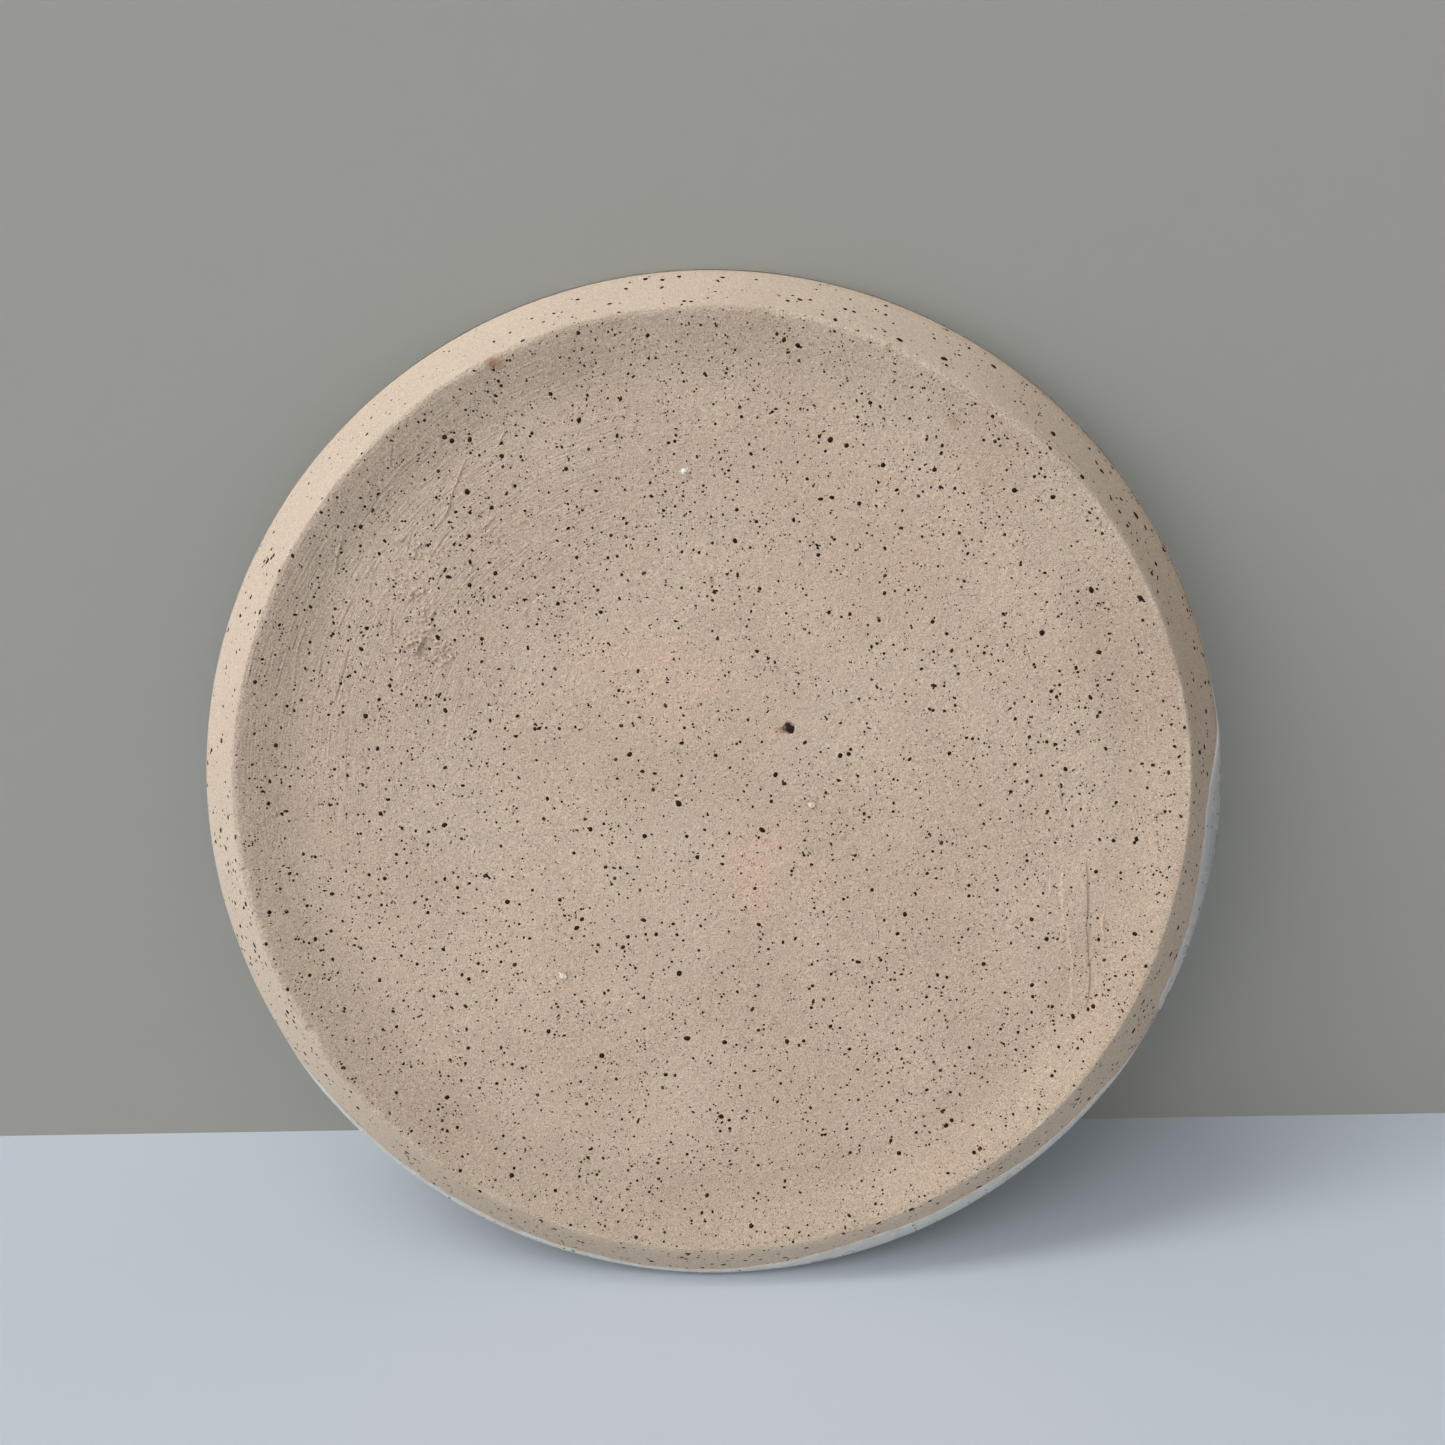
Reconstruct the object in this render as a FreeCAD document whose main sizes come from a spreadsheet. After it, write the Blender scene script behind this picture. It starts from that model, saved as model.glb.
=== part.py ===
"""A round, shallow stoneware plate with a bare, recessed underside and a glazed well.

The plate sits on its foot. Z is its axis and points up out of the well, and the origin is the centre
of the circle it stands on. The clay is one turned slab: a recessed underside, a sloping ring that
comes down to a narrow foot, a flared outer wall, a rounded lip and a flat floor. A skin of glaze
covers the floor and the lip and runs down the outside in two places. Iron nodules lie flush in the
underside, one of them burst open, and three crumbs of kiln grit have fused to it.
"""

import FreeCAD
import Part
import Sketcher
import math
import os

MM = {
    # circles the plate is drawn from
    "rim_radius": 135.2,
    "foot_radius": 124.8,
    "foot_land": 1.2,
    "flat_radius": 106.0,
    # heights above the foot
    "recess": 3.9,
    "floor_height": 9.2,
    "widest_height": 11.0,
    # curves of the section
    "shoulder": 5.0,
    "lip": 2.7,
    "floor_curve": 9.0,
    # skin of glaze, and how far its runs go down the wall below the shoulder
    "glaze": 0.4,
    "long_run": 3.4,
    "middle_run": 3.8,
    "short_run": 0.5,
    # iron in the clay
    "nodule_radius": 0.8,
    "nodule_depth": 0.7,
    "burst_radius": 1.4,
    "crater_radius": 1.7,
    "crater_depth": 1.0,
    "burst_sunk": 0.15,
    # crumbs of grit
    "crumb_radius": 1.1,
    "crumb_proud": 0.8,
}
DEGREES = {
    "ring_slope": 17.0,
}

# where the glaze runs down the outside: first azimuth, last azimuth, how far down
GLAZE_RUNS = {
    "LongRun": (175.0, 206.0, "long_run"),
    "MiddleRun": (231.0, 263.0, "middle_run"),
    "NearRun": (216.0, 231.0, "short_run"),
    "ShortRun": (263.0, 323.0, "short_run"),
}

# centres of the largest iron nodules, in millimetres across the flat of the underside
NODULES = (
    (62, 79), (8, -48), (-86, 43), (70, -8), (8, -2), (68, 59),
    (33, 97), (-14, -9), (6, -66), (-92, 3), (90, 21), (-31, 92),
)
BURST = (-21, 18)
CRUMBS = ((6, 84), (39, -49), (-27, -2))

# broken outlines: how far each corner lies from the centre, as a share of the radius
BURST_CORNERS = (1, 0.8, 0.95, 0.75, 1, 0.7, 0.9)
CRUMB_CORNERS = ((1, 0.7, 0.9, 0.8, 0.7), (0.9, 1, 0.7, 0.9, 0.8), (1, 0.6, 0.8, 0.7, 0.9))

# how a sketch numbers the points of a line or an arc
START, END, CENTRE = 1, 2, 3


def make_sheet(doc):
    """The driving dimensions, one named cell each."""
    sheet = doc.addObject("Spreadsheet::Sheet", "Dimensions")
    for row, (name, value) in enumerate({**MM, **DEGREES}.items(), start=1):
        sheet.set(f"A{row}", name)
        sheet.set(f"B{row}", str(value))
        sheet.setAlias(f"B{row}", name)
    doc.recompute()
    return sheet


def make_body(doc, name):
    body = doc.addObject("PartDesign::Body", name)
    body.Label = name
    body.AllowCompound = True
    return body


def add_sketch(body, name, plane, raised=None, turned=0.0):
    """A sketch on one of the body's own origin planes, raised to a sheet cell or turned about Z."""
    sketch = body.newObject("Sketcher::SketchObject", name)
    origin_plane = next(f for f in body.Origin.OriginFeatures if f.Role == plane)
    sketch.AttachmentSupport = [(origin_plane, "")]
    sketch.MapMode = "FlatFace"
    if turned:
        turn = FreeCAD.Rotation(FreeCAD.Vector(0, 1, 0), turned)
        sketch.AttachmentOffset = FreeCAD.Placement(FreeCAD.Vector(), turn)
    if raised:
        sketch.setExpression("AttachmentOffset.Base.z", raised)
    return sketch


def point(x, y):
    return FreeCAD.Vector(x, y, 0)


def add_line(sketch, start, end):
    return sketch.addGeometry(Part.LineSegment(point(*start), point(*end)), False)


def add_arc(sketch, centre, radius, first, last):
    """An arc drawn anticlockwise from the first angle to the last, in degrees."""
    circle = Part.Circle(point(*centre), FreeCAD.Vector(0, 0, 1), radius)
    arc = Part.ArcOfCircle(circle, math.radians(first), math.radians(last))
    return sketch.addGeometry(arc, False)


def join(sketch, *pairs):
    """Makes ends coincide: each pair is (geometry, end, geometry, end)."""
    for pair in pairs:
        sketch.addConstraint(Sketcher.Constraint("Coincident", *pair))


def blend(sketch, *pairs):
    """Makes ends meet and run on smoothly: each pair is (geometry, end, geometry, end)."""
    for pair in pairs:
        sketch.addConstraint(Sketcher.Constraint("Tangent", *pair))


def drive(sketch, kind, where, value, expression):
    """Adds a dimension and binds it to the sheet."""
    index = sketch.addConstraint(Sketcher.Constraint(kind, *where, value))
    sketch.setExpression(f"Constraints[{index}]", expression)


def place(sketch, geometry, end, across, up):
    """Fixes a point by its radius and its height, each a (value, expression) pair."""
    drive(sketch, "DistanceX", (-1, 1, geometry, end), *across)
    drive(sketch, "DistanceY", (-1, 1, geometry, end), *up)


def revolve(body, sketch, name, angle=360.0):
    """Turns a section about the plate's axis, half the angle to each side of it."""
    turned = body.newObject("PartDesign::Revolution", name)
    turned.Profile = sketch
    turned.ReferenceAxis = (sketch, ["V_Axis"])
    turned.Angle = angle
    turned.Midplane = angle < 360.0
    return turned


def section_points():
    """The few places in the section that follow from the driving dimensions."""
    lip_centre = MM["rim_radius"] - MM["lip"]
    curve_centre_height = MM["floor_height"] + MM["floor_curve"]
    reach = MM["floor_curve"] + MM["lip"]
    rise = curve_centre_height - MM["widest_height"]
    floor_radius = lip_centre - math.sqrt(reach**2 - rise**2)
    shoulder_centre = MM["rim_radius"] - MM["shoulder"]
    to_centre = (shoulder_centre - MM["foot_radius"], MM["widest_height"])
    flare = math.atan2(to_centre[1], to_centre[0]) - math.asin(MM["shoulder"] / math.hypot(*to_centre))
    return {
        "lip": (lip_centre, MM["widest_height"]),
        "curve": (floor_radius, curve_centre_height),
        "shoulder": (shoulder_centre, MM["widest_height"]),
        "meeting": math.degrees(math.atan2(rise, lip_centre - floor_radius)),
        "flare": math.degrees(flare),
    }


def well_line(sketch, skin, skin_cells):
    """Floor, floor curve and lip, standing off the clay by a skin of glaze or by nothing."""
    at = section_points()
    floor_height = MM["floor_height"] + skin
    curve_radius = MM["floor_curve"] - skin
    lip_radius = MM["lip"] + skin
    floor = add_line(sketch, (0, floor_height), (at["curve"][0], floor_height))
    curve = add_arc(sketch, at["curve"], curve_radius, 270, 360 - at["meeting"])
    lip = add_arc(sketch, at["lip"], lip_radius, 0, 180 - at["meeting"])
    blend(sketch, (floor, END, curve, START), (curve, END, lip, END))
    place(sketch, floor, START, (0, "0"), (floor_height, f"Dimensions.floor_height + {skin_cells}"))
    sketch.addConstraint(Sketcher.Constraint("Horizontal", floor))
    drive(sketch, "Radius", (curve,), curve_radius, f"Dimensions.floor_curve - {skin_cells}")
    drive(sketch, "Radius", (lip,), lip_radius, f"Dimensions.lip + {skin_cells}")
    place(
        sketch,
        lip,
        CENTRE,
        (at["lip"][0], "Dimensions.rim_radius - Dimensions.lip"),
        (at["lip"][1], "Dimensions.widest_height"),
    )
    sketch.addConstraint(Sketcher.Constraint("Horizontal", lip, CENTRE, lip, START))
    return floor, lip


def clay_section(sketch):
    """Half of the slab: underside, sloping ring, foot, flared wall, shoulder, lip and floor."""
    at = section_points()
    slope = math.radians(DEGREES["ring_slope"])
    foot_inside = MM["foot_radius"] - MM["foot_land"]
    half_slope = math.tan(slope / 2)
    ring_width = (MM["recess"] - (foot_inside - MM["flat_radius"]) * half_slope) / (
        math.tan(slope) - half_slope
    )
    ring_start = (foot_inside - ring_width, ring_width * math.tan(slope))
    ease_radius = (ring_start[0] - MM["flat_radius"]) / math.sin(slope)
    foot_end = (MM["foot_radius"], 0)

    under = add_line(sketch, (0, MM["recess"]), (MM["flat_radius"], MM["recess"]))
    ease_centre = (MM["flat_radius"], MM["recess"] - ease_radius)
    ease = add_arc(sketch, ease_centre, ease_radius, 90 - DEGREES["ring_slope"], 90)
    ring = add_line(sketch, ring_start, (foot_inside, 0))
    land = add_line(sketch, (foot_inside, 0), foot_end)
    shoulder = add_arc(sketch, at["shoulder"], MM["shoulder"], at["flare"] - 90, 0)
    leaving = math.radians(at["flare"] - 90)
    wall_top = (
        at["shoulder"][0] + MM["shoulder"] * math.cos(leaving),
        at["shoulder"][1] + MM["shoulder"] * math.sin(leaving),
    )
    wall = add_line(sketch, foot_end, wall_top)
    floor, lip = well_line(sketch, 0.0, "0")
    axis = add_line(sketch, (0, MM["floor_height"]), (0, MM["recess"]))

    join(sketch, (ring, END, land, START), (land, END, wall, START))
    join(sketch, (axis, START, floor, START), (axis, END, under, START))
    join(sketch, (shoulder, END, lip, START))
    blend(sketch, (under, END, ease, END), (ease, START, ring, START), (wall, END, shoulder, START))
    sketch.addConstraint(Sketcher.Constraint("Horizontal", under))
    sketch.addConstraint(Sketcher.Constraint("Horizontal", land))
    sketch.addConstraint(Sketcher.Constraint("Vertical", axis))
    place(
        sketch,
        under,
        END,
        (MM["flat_radius"], "Dimensions.flat_radius"),
        (MM["recess"], "Dimensions.recess"),
    )
    place(sketch, land, END, (MM["foot_radius"], "Dimensions.foot_radius"), (0, "0"))
    drive(sketch, "DistanceX", (land, START, land, END), MM["foot_land"], "Dimensions.foot_land")
    drive(sketch, "Angle", (under, ring), -slope, "-Dimensions.ring_slope * 1 deg")
    drive(sketch, "Radius", (shoulder,), MM["shoulder"], "Dimensions.shoulder")
    sketch.addConstraint(Sketcher.Constraint("Horizontal", shoulder, CENTRE, shoulder, END))


def coat_section(sketch):
    """Half of the glaze over the floor and the lip, as far as the widest circle."""
    inner_floor, inner_lip = well_line(sketch, 0.0, "0")
    outer_floor, outer_lip = well_line(sketch, MM["glaze"], "Dimensions.glaze")
    rim = (MM["rim_radius"], MM["widest_height"])
    axis = add_line(sketch, (0, MM["floor_height"]), (0, MM["floor_height"] + MM["glaze"]))
    edge = add_line(sketch, rim, (rim[0] + MM["glaze"], rim[1]))
    join(sketch, (axis, START, inner_floor, START), (axis, END, outer_floor, START))
    join(sketch, (edge, START, inner_lip, START), (edge, END, outer_lip, START))


def run_section(sketch, cell):
    """A strip of glaze from the widest circle, round the shoulder and some way down the wall."""
    at = section_points()
    centre = at["shoulder"]
    leaving = math.radians(at["flare"] - 90)
    down = (-math.cos(math.radians(at["flare"])), -math.sin(math.radians(at["flare"])))
    arcs, walls, ends = [], [], []
    for radius, expression in (
        (MM["shoulder"], "Dimensions.shoulder"),
        (MM["shoulder"] + MM["glaze"], "Dimensions.shoulder + Dimensions.glaze"),
    ):
        arc = add_arc(sketch, centre, radius, at["flare"] - 90, 0)
        start = (centre[0] + radius * math.cos(leaving), centre[1] + radius * math.sin(leaving))
        end = (start[0] + MM[cell] * down[0], start[1] + MM[cell] * down[1])
        wall = add_line(sketch, start, end)
        drive(sketch, "Radius", (arc,), radius, expression)
        blend(sketch, (arc, START, wall, START))
        arcs.append(arc)
        walls.append(wall)
        ends.append(end)
    place(
        sketch,
        arcs[0],
        CENTRE,
        (centre[0], "Dimensions.rim_radius - Dimensions.shoulder"),
        (centre[1], "Dimensions.widest_height"),
    )
    join(sketch, (arcs[0], CENTRE, arcs[1], CENTRE))
    rims = [(centre[0] + MM["shoulder"], centre[1]), (centre[0] + MM["shoulder"] + MM["glaze"], centre[1])]
    top = add_line(sketch, *rims)
    bottom = add_line(sketch, *ends)
    join(sketch, (top, START, arcs[0], END), (top, END, arcs[1], END))
    join(sketch, (bottom, START, walls[0], END), (bottom, END, walls[1], END))
    sketch.addConstraint(Sketcher.Constraint("Horizontal", top))
    sketch.addConstraint(Sketcher.Constraint("Horizontal", arcs[0], CENTRE, arcs[0], END))
    sketch.addConstraint(Sketcher.Constraint("Parallel", *walls))
    sketch.addConstraint(Sketcher.Constraint("Perpendicular", walls[0], bottom))
    drive(sketch, "Distance", (walls[0],), MM[cell], f"Dimensions.{cell}")
    foot = sketch.addGeometry(Part.Point(point(MM["foot_radius"], 0)), True)
    place(sketch, foot, START, (MM["foot_radius"], "Dimensions.foot_radius"), (0, "0"))
    sketch.addConstraint(Sketcher.Constraint("PointOnObject", foot, START, walls[0]))


def add_circles(sketch, centres, radius, expression):
    """Round outlines of one size, all bound to the same cell."""
    for centre in centres:
        circle = Part.Circle(point(*centre), FreeCAD.Vector(0, 0, 1), radius)
        index = sketch.addGeometry(circle, False)
        place(sketch, index, CENTRE, (centre[0], str(centre[0])), (centre[1], str(centre[1])))
        drive(sketch, "Radius", (index,), radius, expression)


def add_chip(sketch, centre, radius, expression, reaches):
    """A broken outline: corners evenly round a centre, each at its own share of the radius."""
    guide = sketch.addGeometry(Part.Circle(point(*centre), FreeCAD.Vector(0, 0, 1), radius), True)
    place(sketch, guide, CENTRE, (centre[0], str(centre[0])), (centre[1], str(centre[1])))
    drive(sketch, "Radius", (guide,), radius, expression)
    turn = 2 * math.pi / len(reaches)
    corners = [
        (centre[0] + radius * share * math.cos(i * turn), centre[1] + radius * share * math.sin(i * turn))
        for i, share in enumerate(reaches)
    ]
    sides = [add_line(sketch, corners[i - 1], corner) for i, corner in enumerate(corners)]
    for i, share in enumerate(reaches):
        join(sketch, (sides[i], END, sides[(i + 1) % len(sides)], START))
        for kind, part in (("DistanceX", math.cos(i * turn)), ("DistanceY", math.sin(i * turn))):
            offset = share * part
            drive(
                sketch,
                kind,
                (guide, CENTRE, sides[i], END),
                radius * offset,
                f"{expression} * {offset:.4f}",
            )


def extrude(body, sketch, kind, name, length, downward=False):
    """A pad or a pocket that goes up from its sketch, or down from it."""
    feature = body.newObject(kind, name)
    feature.Profile = sketch
    feature.Reversed = downward != (kind == "PartDesign::Pocket")
    feature.setExpression("Length", length)
    return feature


def make_clay(doc):
    """The fired slab, with the seats that its iron lies in."""
    body = make_body(doc, "clay_body")
    section = add_sketch(body, "ClaySection", "XZ_Plane")
    clay_section(section)
    slab = revolve(body, section, "Slab")
    doc.recompute()
    seats = add_sketch(body, "NoduleSeatOutlines", "XY_Plane", raised="Dimensions.recess * 1 mm")
    add_circles(seats, NODULES, MM["nodule_radius"], "Dimensions.nodule_radius")
    sunk = extrude(body, seats, "PartDesign::Pocket", "NoduleSeats", "Dimensions.nodule_depth * 1 mm")
    doc.recompute()
    mouth = add_sketch(body, "CraterOutline", "XY_Plane", raised="Dimensions.recess * 1 mm")
    add_circles(mouth, [BURST], MM["crater_radius"], "Dimensions.crater_radius")
    crater = extrude(body, mouth, "PartDesign::Pocket", "Crater", "Dimensions.crater_depth * 1 mm")
    doc.recompute()
    if not slab.Shape.Volume > sunk.Shape.Volume > crater.Shape.Volume:
        raise RuntimeError("a seat in the clay cuts nothing")
    return body


def make_glaze(doc):
    """The glassy skin over the floor and the lip, with its runs down the outside."""
    body = make_body(doc, "glaze_coat")
    section = add_sketch(body, "CoatSection", "XZ_Plane")
    coat_section(section)
    coat = revolve(body, section, "Coat")
    doc.recompute()
    volume = coat.Shape.Volume
    for name, (first, last, cell) in GLAZE_RUNS.items():
        outline = add_sketch(body, f"{name}Section", "XZ_Plane", turned=(first + last) / 2)
        run_section(outline, cell)
        run = revolve(body, outline, name, last - first)
        doc.recompute()
        if run.Shape.Volume <= volume:
            raise RuntimeError(f"{name} adds nothing to the glaze")
        volume = run.Shape.Volume
    return body


def make_nodules(doc):
    """The largest iron nodules, each flush in its seat."""
    body = make_body(doc, "iron_nodules")
    outlines = add_sketch(body, "NoduleOutlines", "XY_Plane", raised="Dimensions.recess * 1 mm")
    add_circles(outlines, NODULES, MM["nodule_radius"], "Dimensions.nodule_radius")
    extrude(body, outlines, "PartDesign::Pad", "Nodules", "Dimensions.nodule_depth * 1 mm")
    doc.recompute()
    return body


def make_burst(doc):
    """The nodule that melted and broke open, lying in its crater below the clay's surface."""
    body = make_body(doc, "burst_nodule")
    level = "(Dimensions.recess + Dimensions.burst_sunk) * 1 mm"
    outline = add_sketch(body, "BurstOutline", "XY_Plane", raised=level)
    add_chip(outline, BURST, MM["burst_radius"], "Dimensions.burst_radius", BURST_CORNERS)
    height = "(Dimensions.crater_depth - Dimensions.burst_sunk) * 1 mm"
    extrude(body, outline, "PartDesign::Pad", "Burst", height)
    doc.recompute()
    return body


def make_grit(doc):
    """Three crumbs of kiln grit, fused to the underside and clear of the table."""
    body = make_body(doc, "kiln_grit")
    outlines = add_sketch(body, "GritOutlines", "XY_Plane", raised="Dimensions.recess * 1 mm")
    for centre, shares in zip(CRUMBS, CRUMB_CORNERS):
        add_chip(outlines, centre, MM["crumb_radius"], "Dimensions.crumb_radius", shares)
    extrude(body, outlines, "PartDesign::Pad", "Crumbs", "Dimensions.crumb_proud * 1 mm", downward=True)
    doc.recompute()
    return body


def check(doc, bodies):
    """Stops the build if any feature failed or any sub-part isn't a sound solid."""
    for obj in doc.Objects:
        if "Invalid" in obj.State or "Error" in obj.State:
            raise RuntimeError(f"{obj.Label} failed: {obj.State}")
    for body in bodies:
        if body.Shape.isNull() or not body.Shape.isValid() or not body.Shape.Solids:
            raise RuntimeError(f"{body.Label} has no sound shape")


def main():
    doc = FreeCAD.newDocument("stoneware_plate")
    make_sheet(doc)
    bodies = [make_clay(doc), make_glaze(doc), make_nodules(doc), make_burst(doc), make_grit(doc)]
    doc.recompute()
    check(doc, bodies)
    os.makedirs("parts", exist_ok=True)
    for body in bodies:
        body.Shape.exportStep(f"parts/{body.Label}.step")
        box = body.Shape.optimalBoundingBox()
        print(
            f"{body.Label}: {len(body.Shape.Solids)} solids, {body.Shape.Volume:.1f} mm3,"
            f" z {box.ZMin:.2f} to {box.ZMax:.2f}, x {box.XMin:.2f} to {box.XMax:.2f}"
        )


main()
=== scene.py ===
"""A round, shallow stoneware plate, seen from below: bare speckled clay, with a white glaze in the well.

Shapes are worked out in millimetres and turned into metres when a mesh is made. Every surface of the
plate is drawn on its section, the half outline that turns about Z. A point on it has a map place
(u, v): its distance from the map's centre is its length along the section, and its direction is its
azimuth. On the flat of the underside the map is simply x and y.
"""
import math
import random
import bmesh
import bpy
import numpy as np
from mathutils import Matrix, Vector
from mathutils.bvhtree import BVHTree


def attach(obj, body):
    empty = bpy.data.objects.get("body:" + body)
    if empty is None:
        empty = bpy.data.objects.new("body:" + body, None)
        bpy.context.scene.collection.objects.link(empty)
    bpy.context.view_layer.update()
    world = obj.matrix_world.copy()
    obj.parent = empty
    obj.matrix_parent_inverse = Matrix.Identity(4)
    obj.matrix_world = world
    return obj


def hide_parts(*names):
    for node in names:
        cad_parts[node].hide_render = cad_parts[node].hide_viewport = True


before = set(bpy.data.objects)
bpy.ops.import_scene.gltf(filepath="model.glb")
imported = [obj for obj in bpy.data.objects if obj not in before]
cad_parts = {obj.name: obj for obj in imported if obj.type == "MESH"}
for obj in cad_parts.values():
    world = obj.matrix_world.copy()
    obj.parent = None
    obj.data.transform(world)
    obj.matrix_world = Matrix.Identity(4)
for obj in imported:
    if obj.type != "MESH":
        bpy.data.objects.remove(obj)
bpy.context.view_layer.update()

METRES = 0.001
EXACT = 0.002


# ---- the plate's measures, from the frame


def vertices_of(piece):
    """An object's vertices, in millimetres."""
    points = np.empty(len(piece.data.vertices) * 3)
    piece.data.vertices.foreach_get("co", points)
    return points.reshape(-1, 3) / METRES


def node_points(name):
    return vertices_of(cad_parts[name])


def node_islands(name, gap=3.0):
    """Centres of a CAD node's separate solids, in millimetres."""
    centres = []
    for point in node_points(name):
        near = [c for c in centres if np.hypot(*(c[0] / c[1] - point)[:2]) < gap]
        if near:
            near[0][0] += point
            near[0][1] += 1
        else:
            centres.append([point.copy(), 1])
    return [total / count for total, count in centres]


def measure():
    """The section's driving sizes, in millimetres."""
    points = node_points("clay_body")
    across, height = np.hypot(points[:, 0], points[:, 1]), points[:, 2]
    rim, top = across.max(), height.max()
    widest = height[across > rim - EXACT].mean()
    lip = top - widest
    standing = across[height < EXACT]
    recess = height[across < rim / 2].min()
    inside = (height > (recess + widest) / 2) & (across < rim - 2 * lip)
    floor = height[inside].min()
    well = across[inside & (height < floor + EXACT)].max()
    run, rise = rim - lip - well, floor - widest
    return {
        "rim": rim,
        "widest": widest,
        "top": top,
        "lip": lip,
        "foot": standing.max(),
        "foot_inside": standing.min(),
        "recess": recess,
        "flat": across[abs(height - recess) < EXACT].max(),
        "floor": floor,
        "well": well,
        "curve": (run**2 + rise**2 - lip**2) / (2 * (lip - rise)),
        "skin": node_points("glaze_coat")[:, 2].max() - top,
    }


PLATE = measure()
SHOULDER = 5.0
RING_SLOPE = math.radians(17)
STEP = 0.1
EDGE_SOFTNESS = 0.35
WORN_SOFTNESS = 2.4


# ---- the section


def polar(reach, azimuth):
    """x and y of one place or of many, from a distance and an azimuth in radians."""
    return reach * np.cos(azimuth), reach * np.sin(azimuth)


def rotated(x, y, turn):
    """The place or places turned about the origin, by an angle in radians."""
    return x * math.cos(turn) - y * math.sin(turn), x * math.sin(turn) + y * math.cos(turn)


def from_centre(u, v):
    """Length along the section and azimuth of a map place."""
    return np.hypot(u, v), np.arctan2(v, u)


def line(start, end):
    """Points on a straight line, a step apart."""
    return np.linspace(start, end, max(2, int(math.dist(start, end) / STEP)))


def arc(centre, radius, first, last):
    """Points on a circle, a step apart, from the first angle to the last, in radians."""
    count = max(2, int(abs(last - first) * radius / STEP))
    return np.stack(polar(radius, np.linspace(first, last, count)), 1) + centre


def draw_outline():
    """The clay's half section: underside, ring, foot, wall, shoulder, lip, floor curve, floor."""
    flat, recess = PLATE["flat"], PLATE["recess"]
    foot_inside = PLATE["foot_inside"]
    half_slope = math.tan(RING_SLOPE / 2)
    ring_width = (recess - (foot_inside - flat) * half_slope) / (math.tan(RING_SLOPE) - half_slope)
    ring_start = (foot_inside - ring_width, ring_width * math.tan(RING_SLOPE))
    ease = (ring_start[0] - flat) / math.sin(RING_SLOPE)
    quarter = math.pi / 2

    shoulder_at = (PLATE["rim"] - SHOULDER, PLATE["widest"])
    reach = (shoulder_at[0] - PLATE["foot"], shoulder_at[1])
    flare = math.atan2(reach[1], reach[0]) - math.asin(SHOULDER / math.hypot(*reach))
    shoulder = arc(shoulder_at, SHOULDER, flare - quarter, 0)

    lip_at = (PLATE["rim"] - PLATE["lip"], PLATE["widest"])
    curve_at = (PLATE["well"], PLATE["floor"] + PLATE["curve"])
    meeting = math.atan2(curve_at[1] - lip_at[1], lip_at[0] - curve_at[0])
    return np.vstack(
        [
            line((0, recess), (flat, recess)),
            arc((flat, recess - ease), ease, quarter, quarter - RING_SLOPE),
            line(ring_start, (foot_inside, 0)),
            line((foot_inside, 0), (PLATE["foot"], 0)),
            line((PLATE["foot"], 0), shoulder[0]),
            shoulder,
            arc(lip_at, PLATE["lip"], 0, math.pi - meeting),
            arc(curve_at, PLATE["curve"], -meeting, -quarter),
            line((PLATE["well"], PLATE["floor"]), (0, PLATE["floor"])),
        ]
    )


def lengths(points):
    """How far along a line of points each one is."""
    return np.concatenate([[0], np.cumsum(np.hypot(*np.diff(points, axis=0).T))])


class Section:
    """The outline as functions of length along it, with its corners worn round."""

    def __init__(self, softness):
        drawn = draw_outline()
        along = lengths(drawn)
        self.along = np.arange(0, along[-1], STEP)
        drawn = np.stack([np.interp(self.along, along, column) for column in drawn.T], 1)
        width = int(softness / STEP)
        worn = sum(np.roll(drawn, k, axis=0) for k in range(-width, width + 1)) / (2 * width + 1)
        worn[:width], worn[-width:] = drawn[:width], drawn[-width:]
        self.points = worn
        self.end = self.along[-1]
        direction = np.gradient(worn, axis=0)
        direction /= np.hypot(*direction.T)[:, None]
        self.normals = np.stack([direction[:, 1], -direction[:, 0]], 1)
        standing = self.along[worn[:, 1] < worn[:, 1].min() + softness * 0.2]
        self.crest = (standing[0] + standing[-1]) / 2
        self.widest = self.along[worn[:, 0].argmax()]
        self.top = self.along[worn[:, 1].argmax()]

    def at(self, along):
        """Radius, height, and the outward normal's two parts."""
        columns = (*self.points.T, *self.normals.T)
        return [np.interp(along, self.along, column) for column in columns]


SECTION = Section(EDGE_SOFTNESS)
WORN = Section(WORN_SOFTNESS)


def bump(value, centre, width):
    """A smooth hill, 1 at its centre."""
    return np.exp(-(((value - centre) / width) ** 2))


def turned(azimuth, centre):
    """How far an azimuth is from another, in degrees, the short way round."""
    return (np.degrees(azimuth) - centre + 180) % 360 - 180


def by_azimuth(azimuth, table):
    """A value read off a table of rows, each an azimuth in degrees and the value there."""
    at, values = zip(*table)
    return np.interp(np.degrees(azimuth) % 360, at, values)


def ramp(value, low, high):
    """Runs smoothly from 0 at low to 1 at high."""
    part = np.clip((value - low) / (high - low), 0, 1)
    return part * part * (3 - 2 * part)


# ---- repeatable roughness


def lattice(i, j, seed):
    """A repeatable value from -1 to 1 at each pair of whole numbers."""
    mixed = (i * 374761393 + j * 668265263 + seed * 974634777) & 0xFFFFFFFF
    mixed = ((mixed ^ (mixed >> 13)) * 1274126177) & 0xFFFFFFFF
    return ((mixed ^ (mixed >> 16)) & 0xFFFF) / 32767.5 - 1


NOISE_TURN = 0.7


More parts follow.
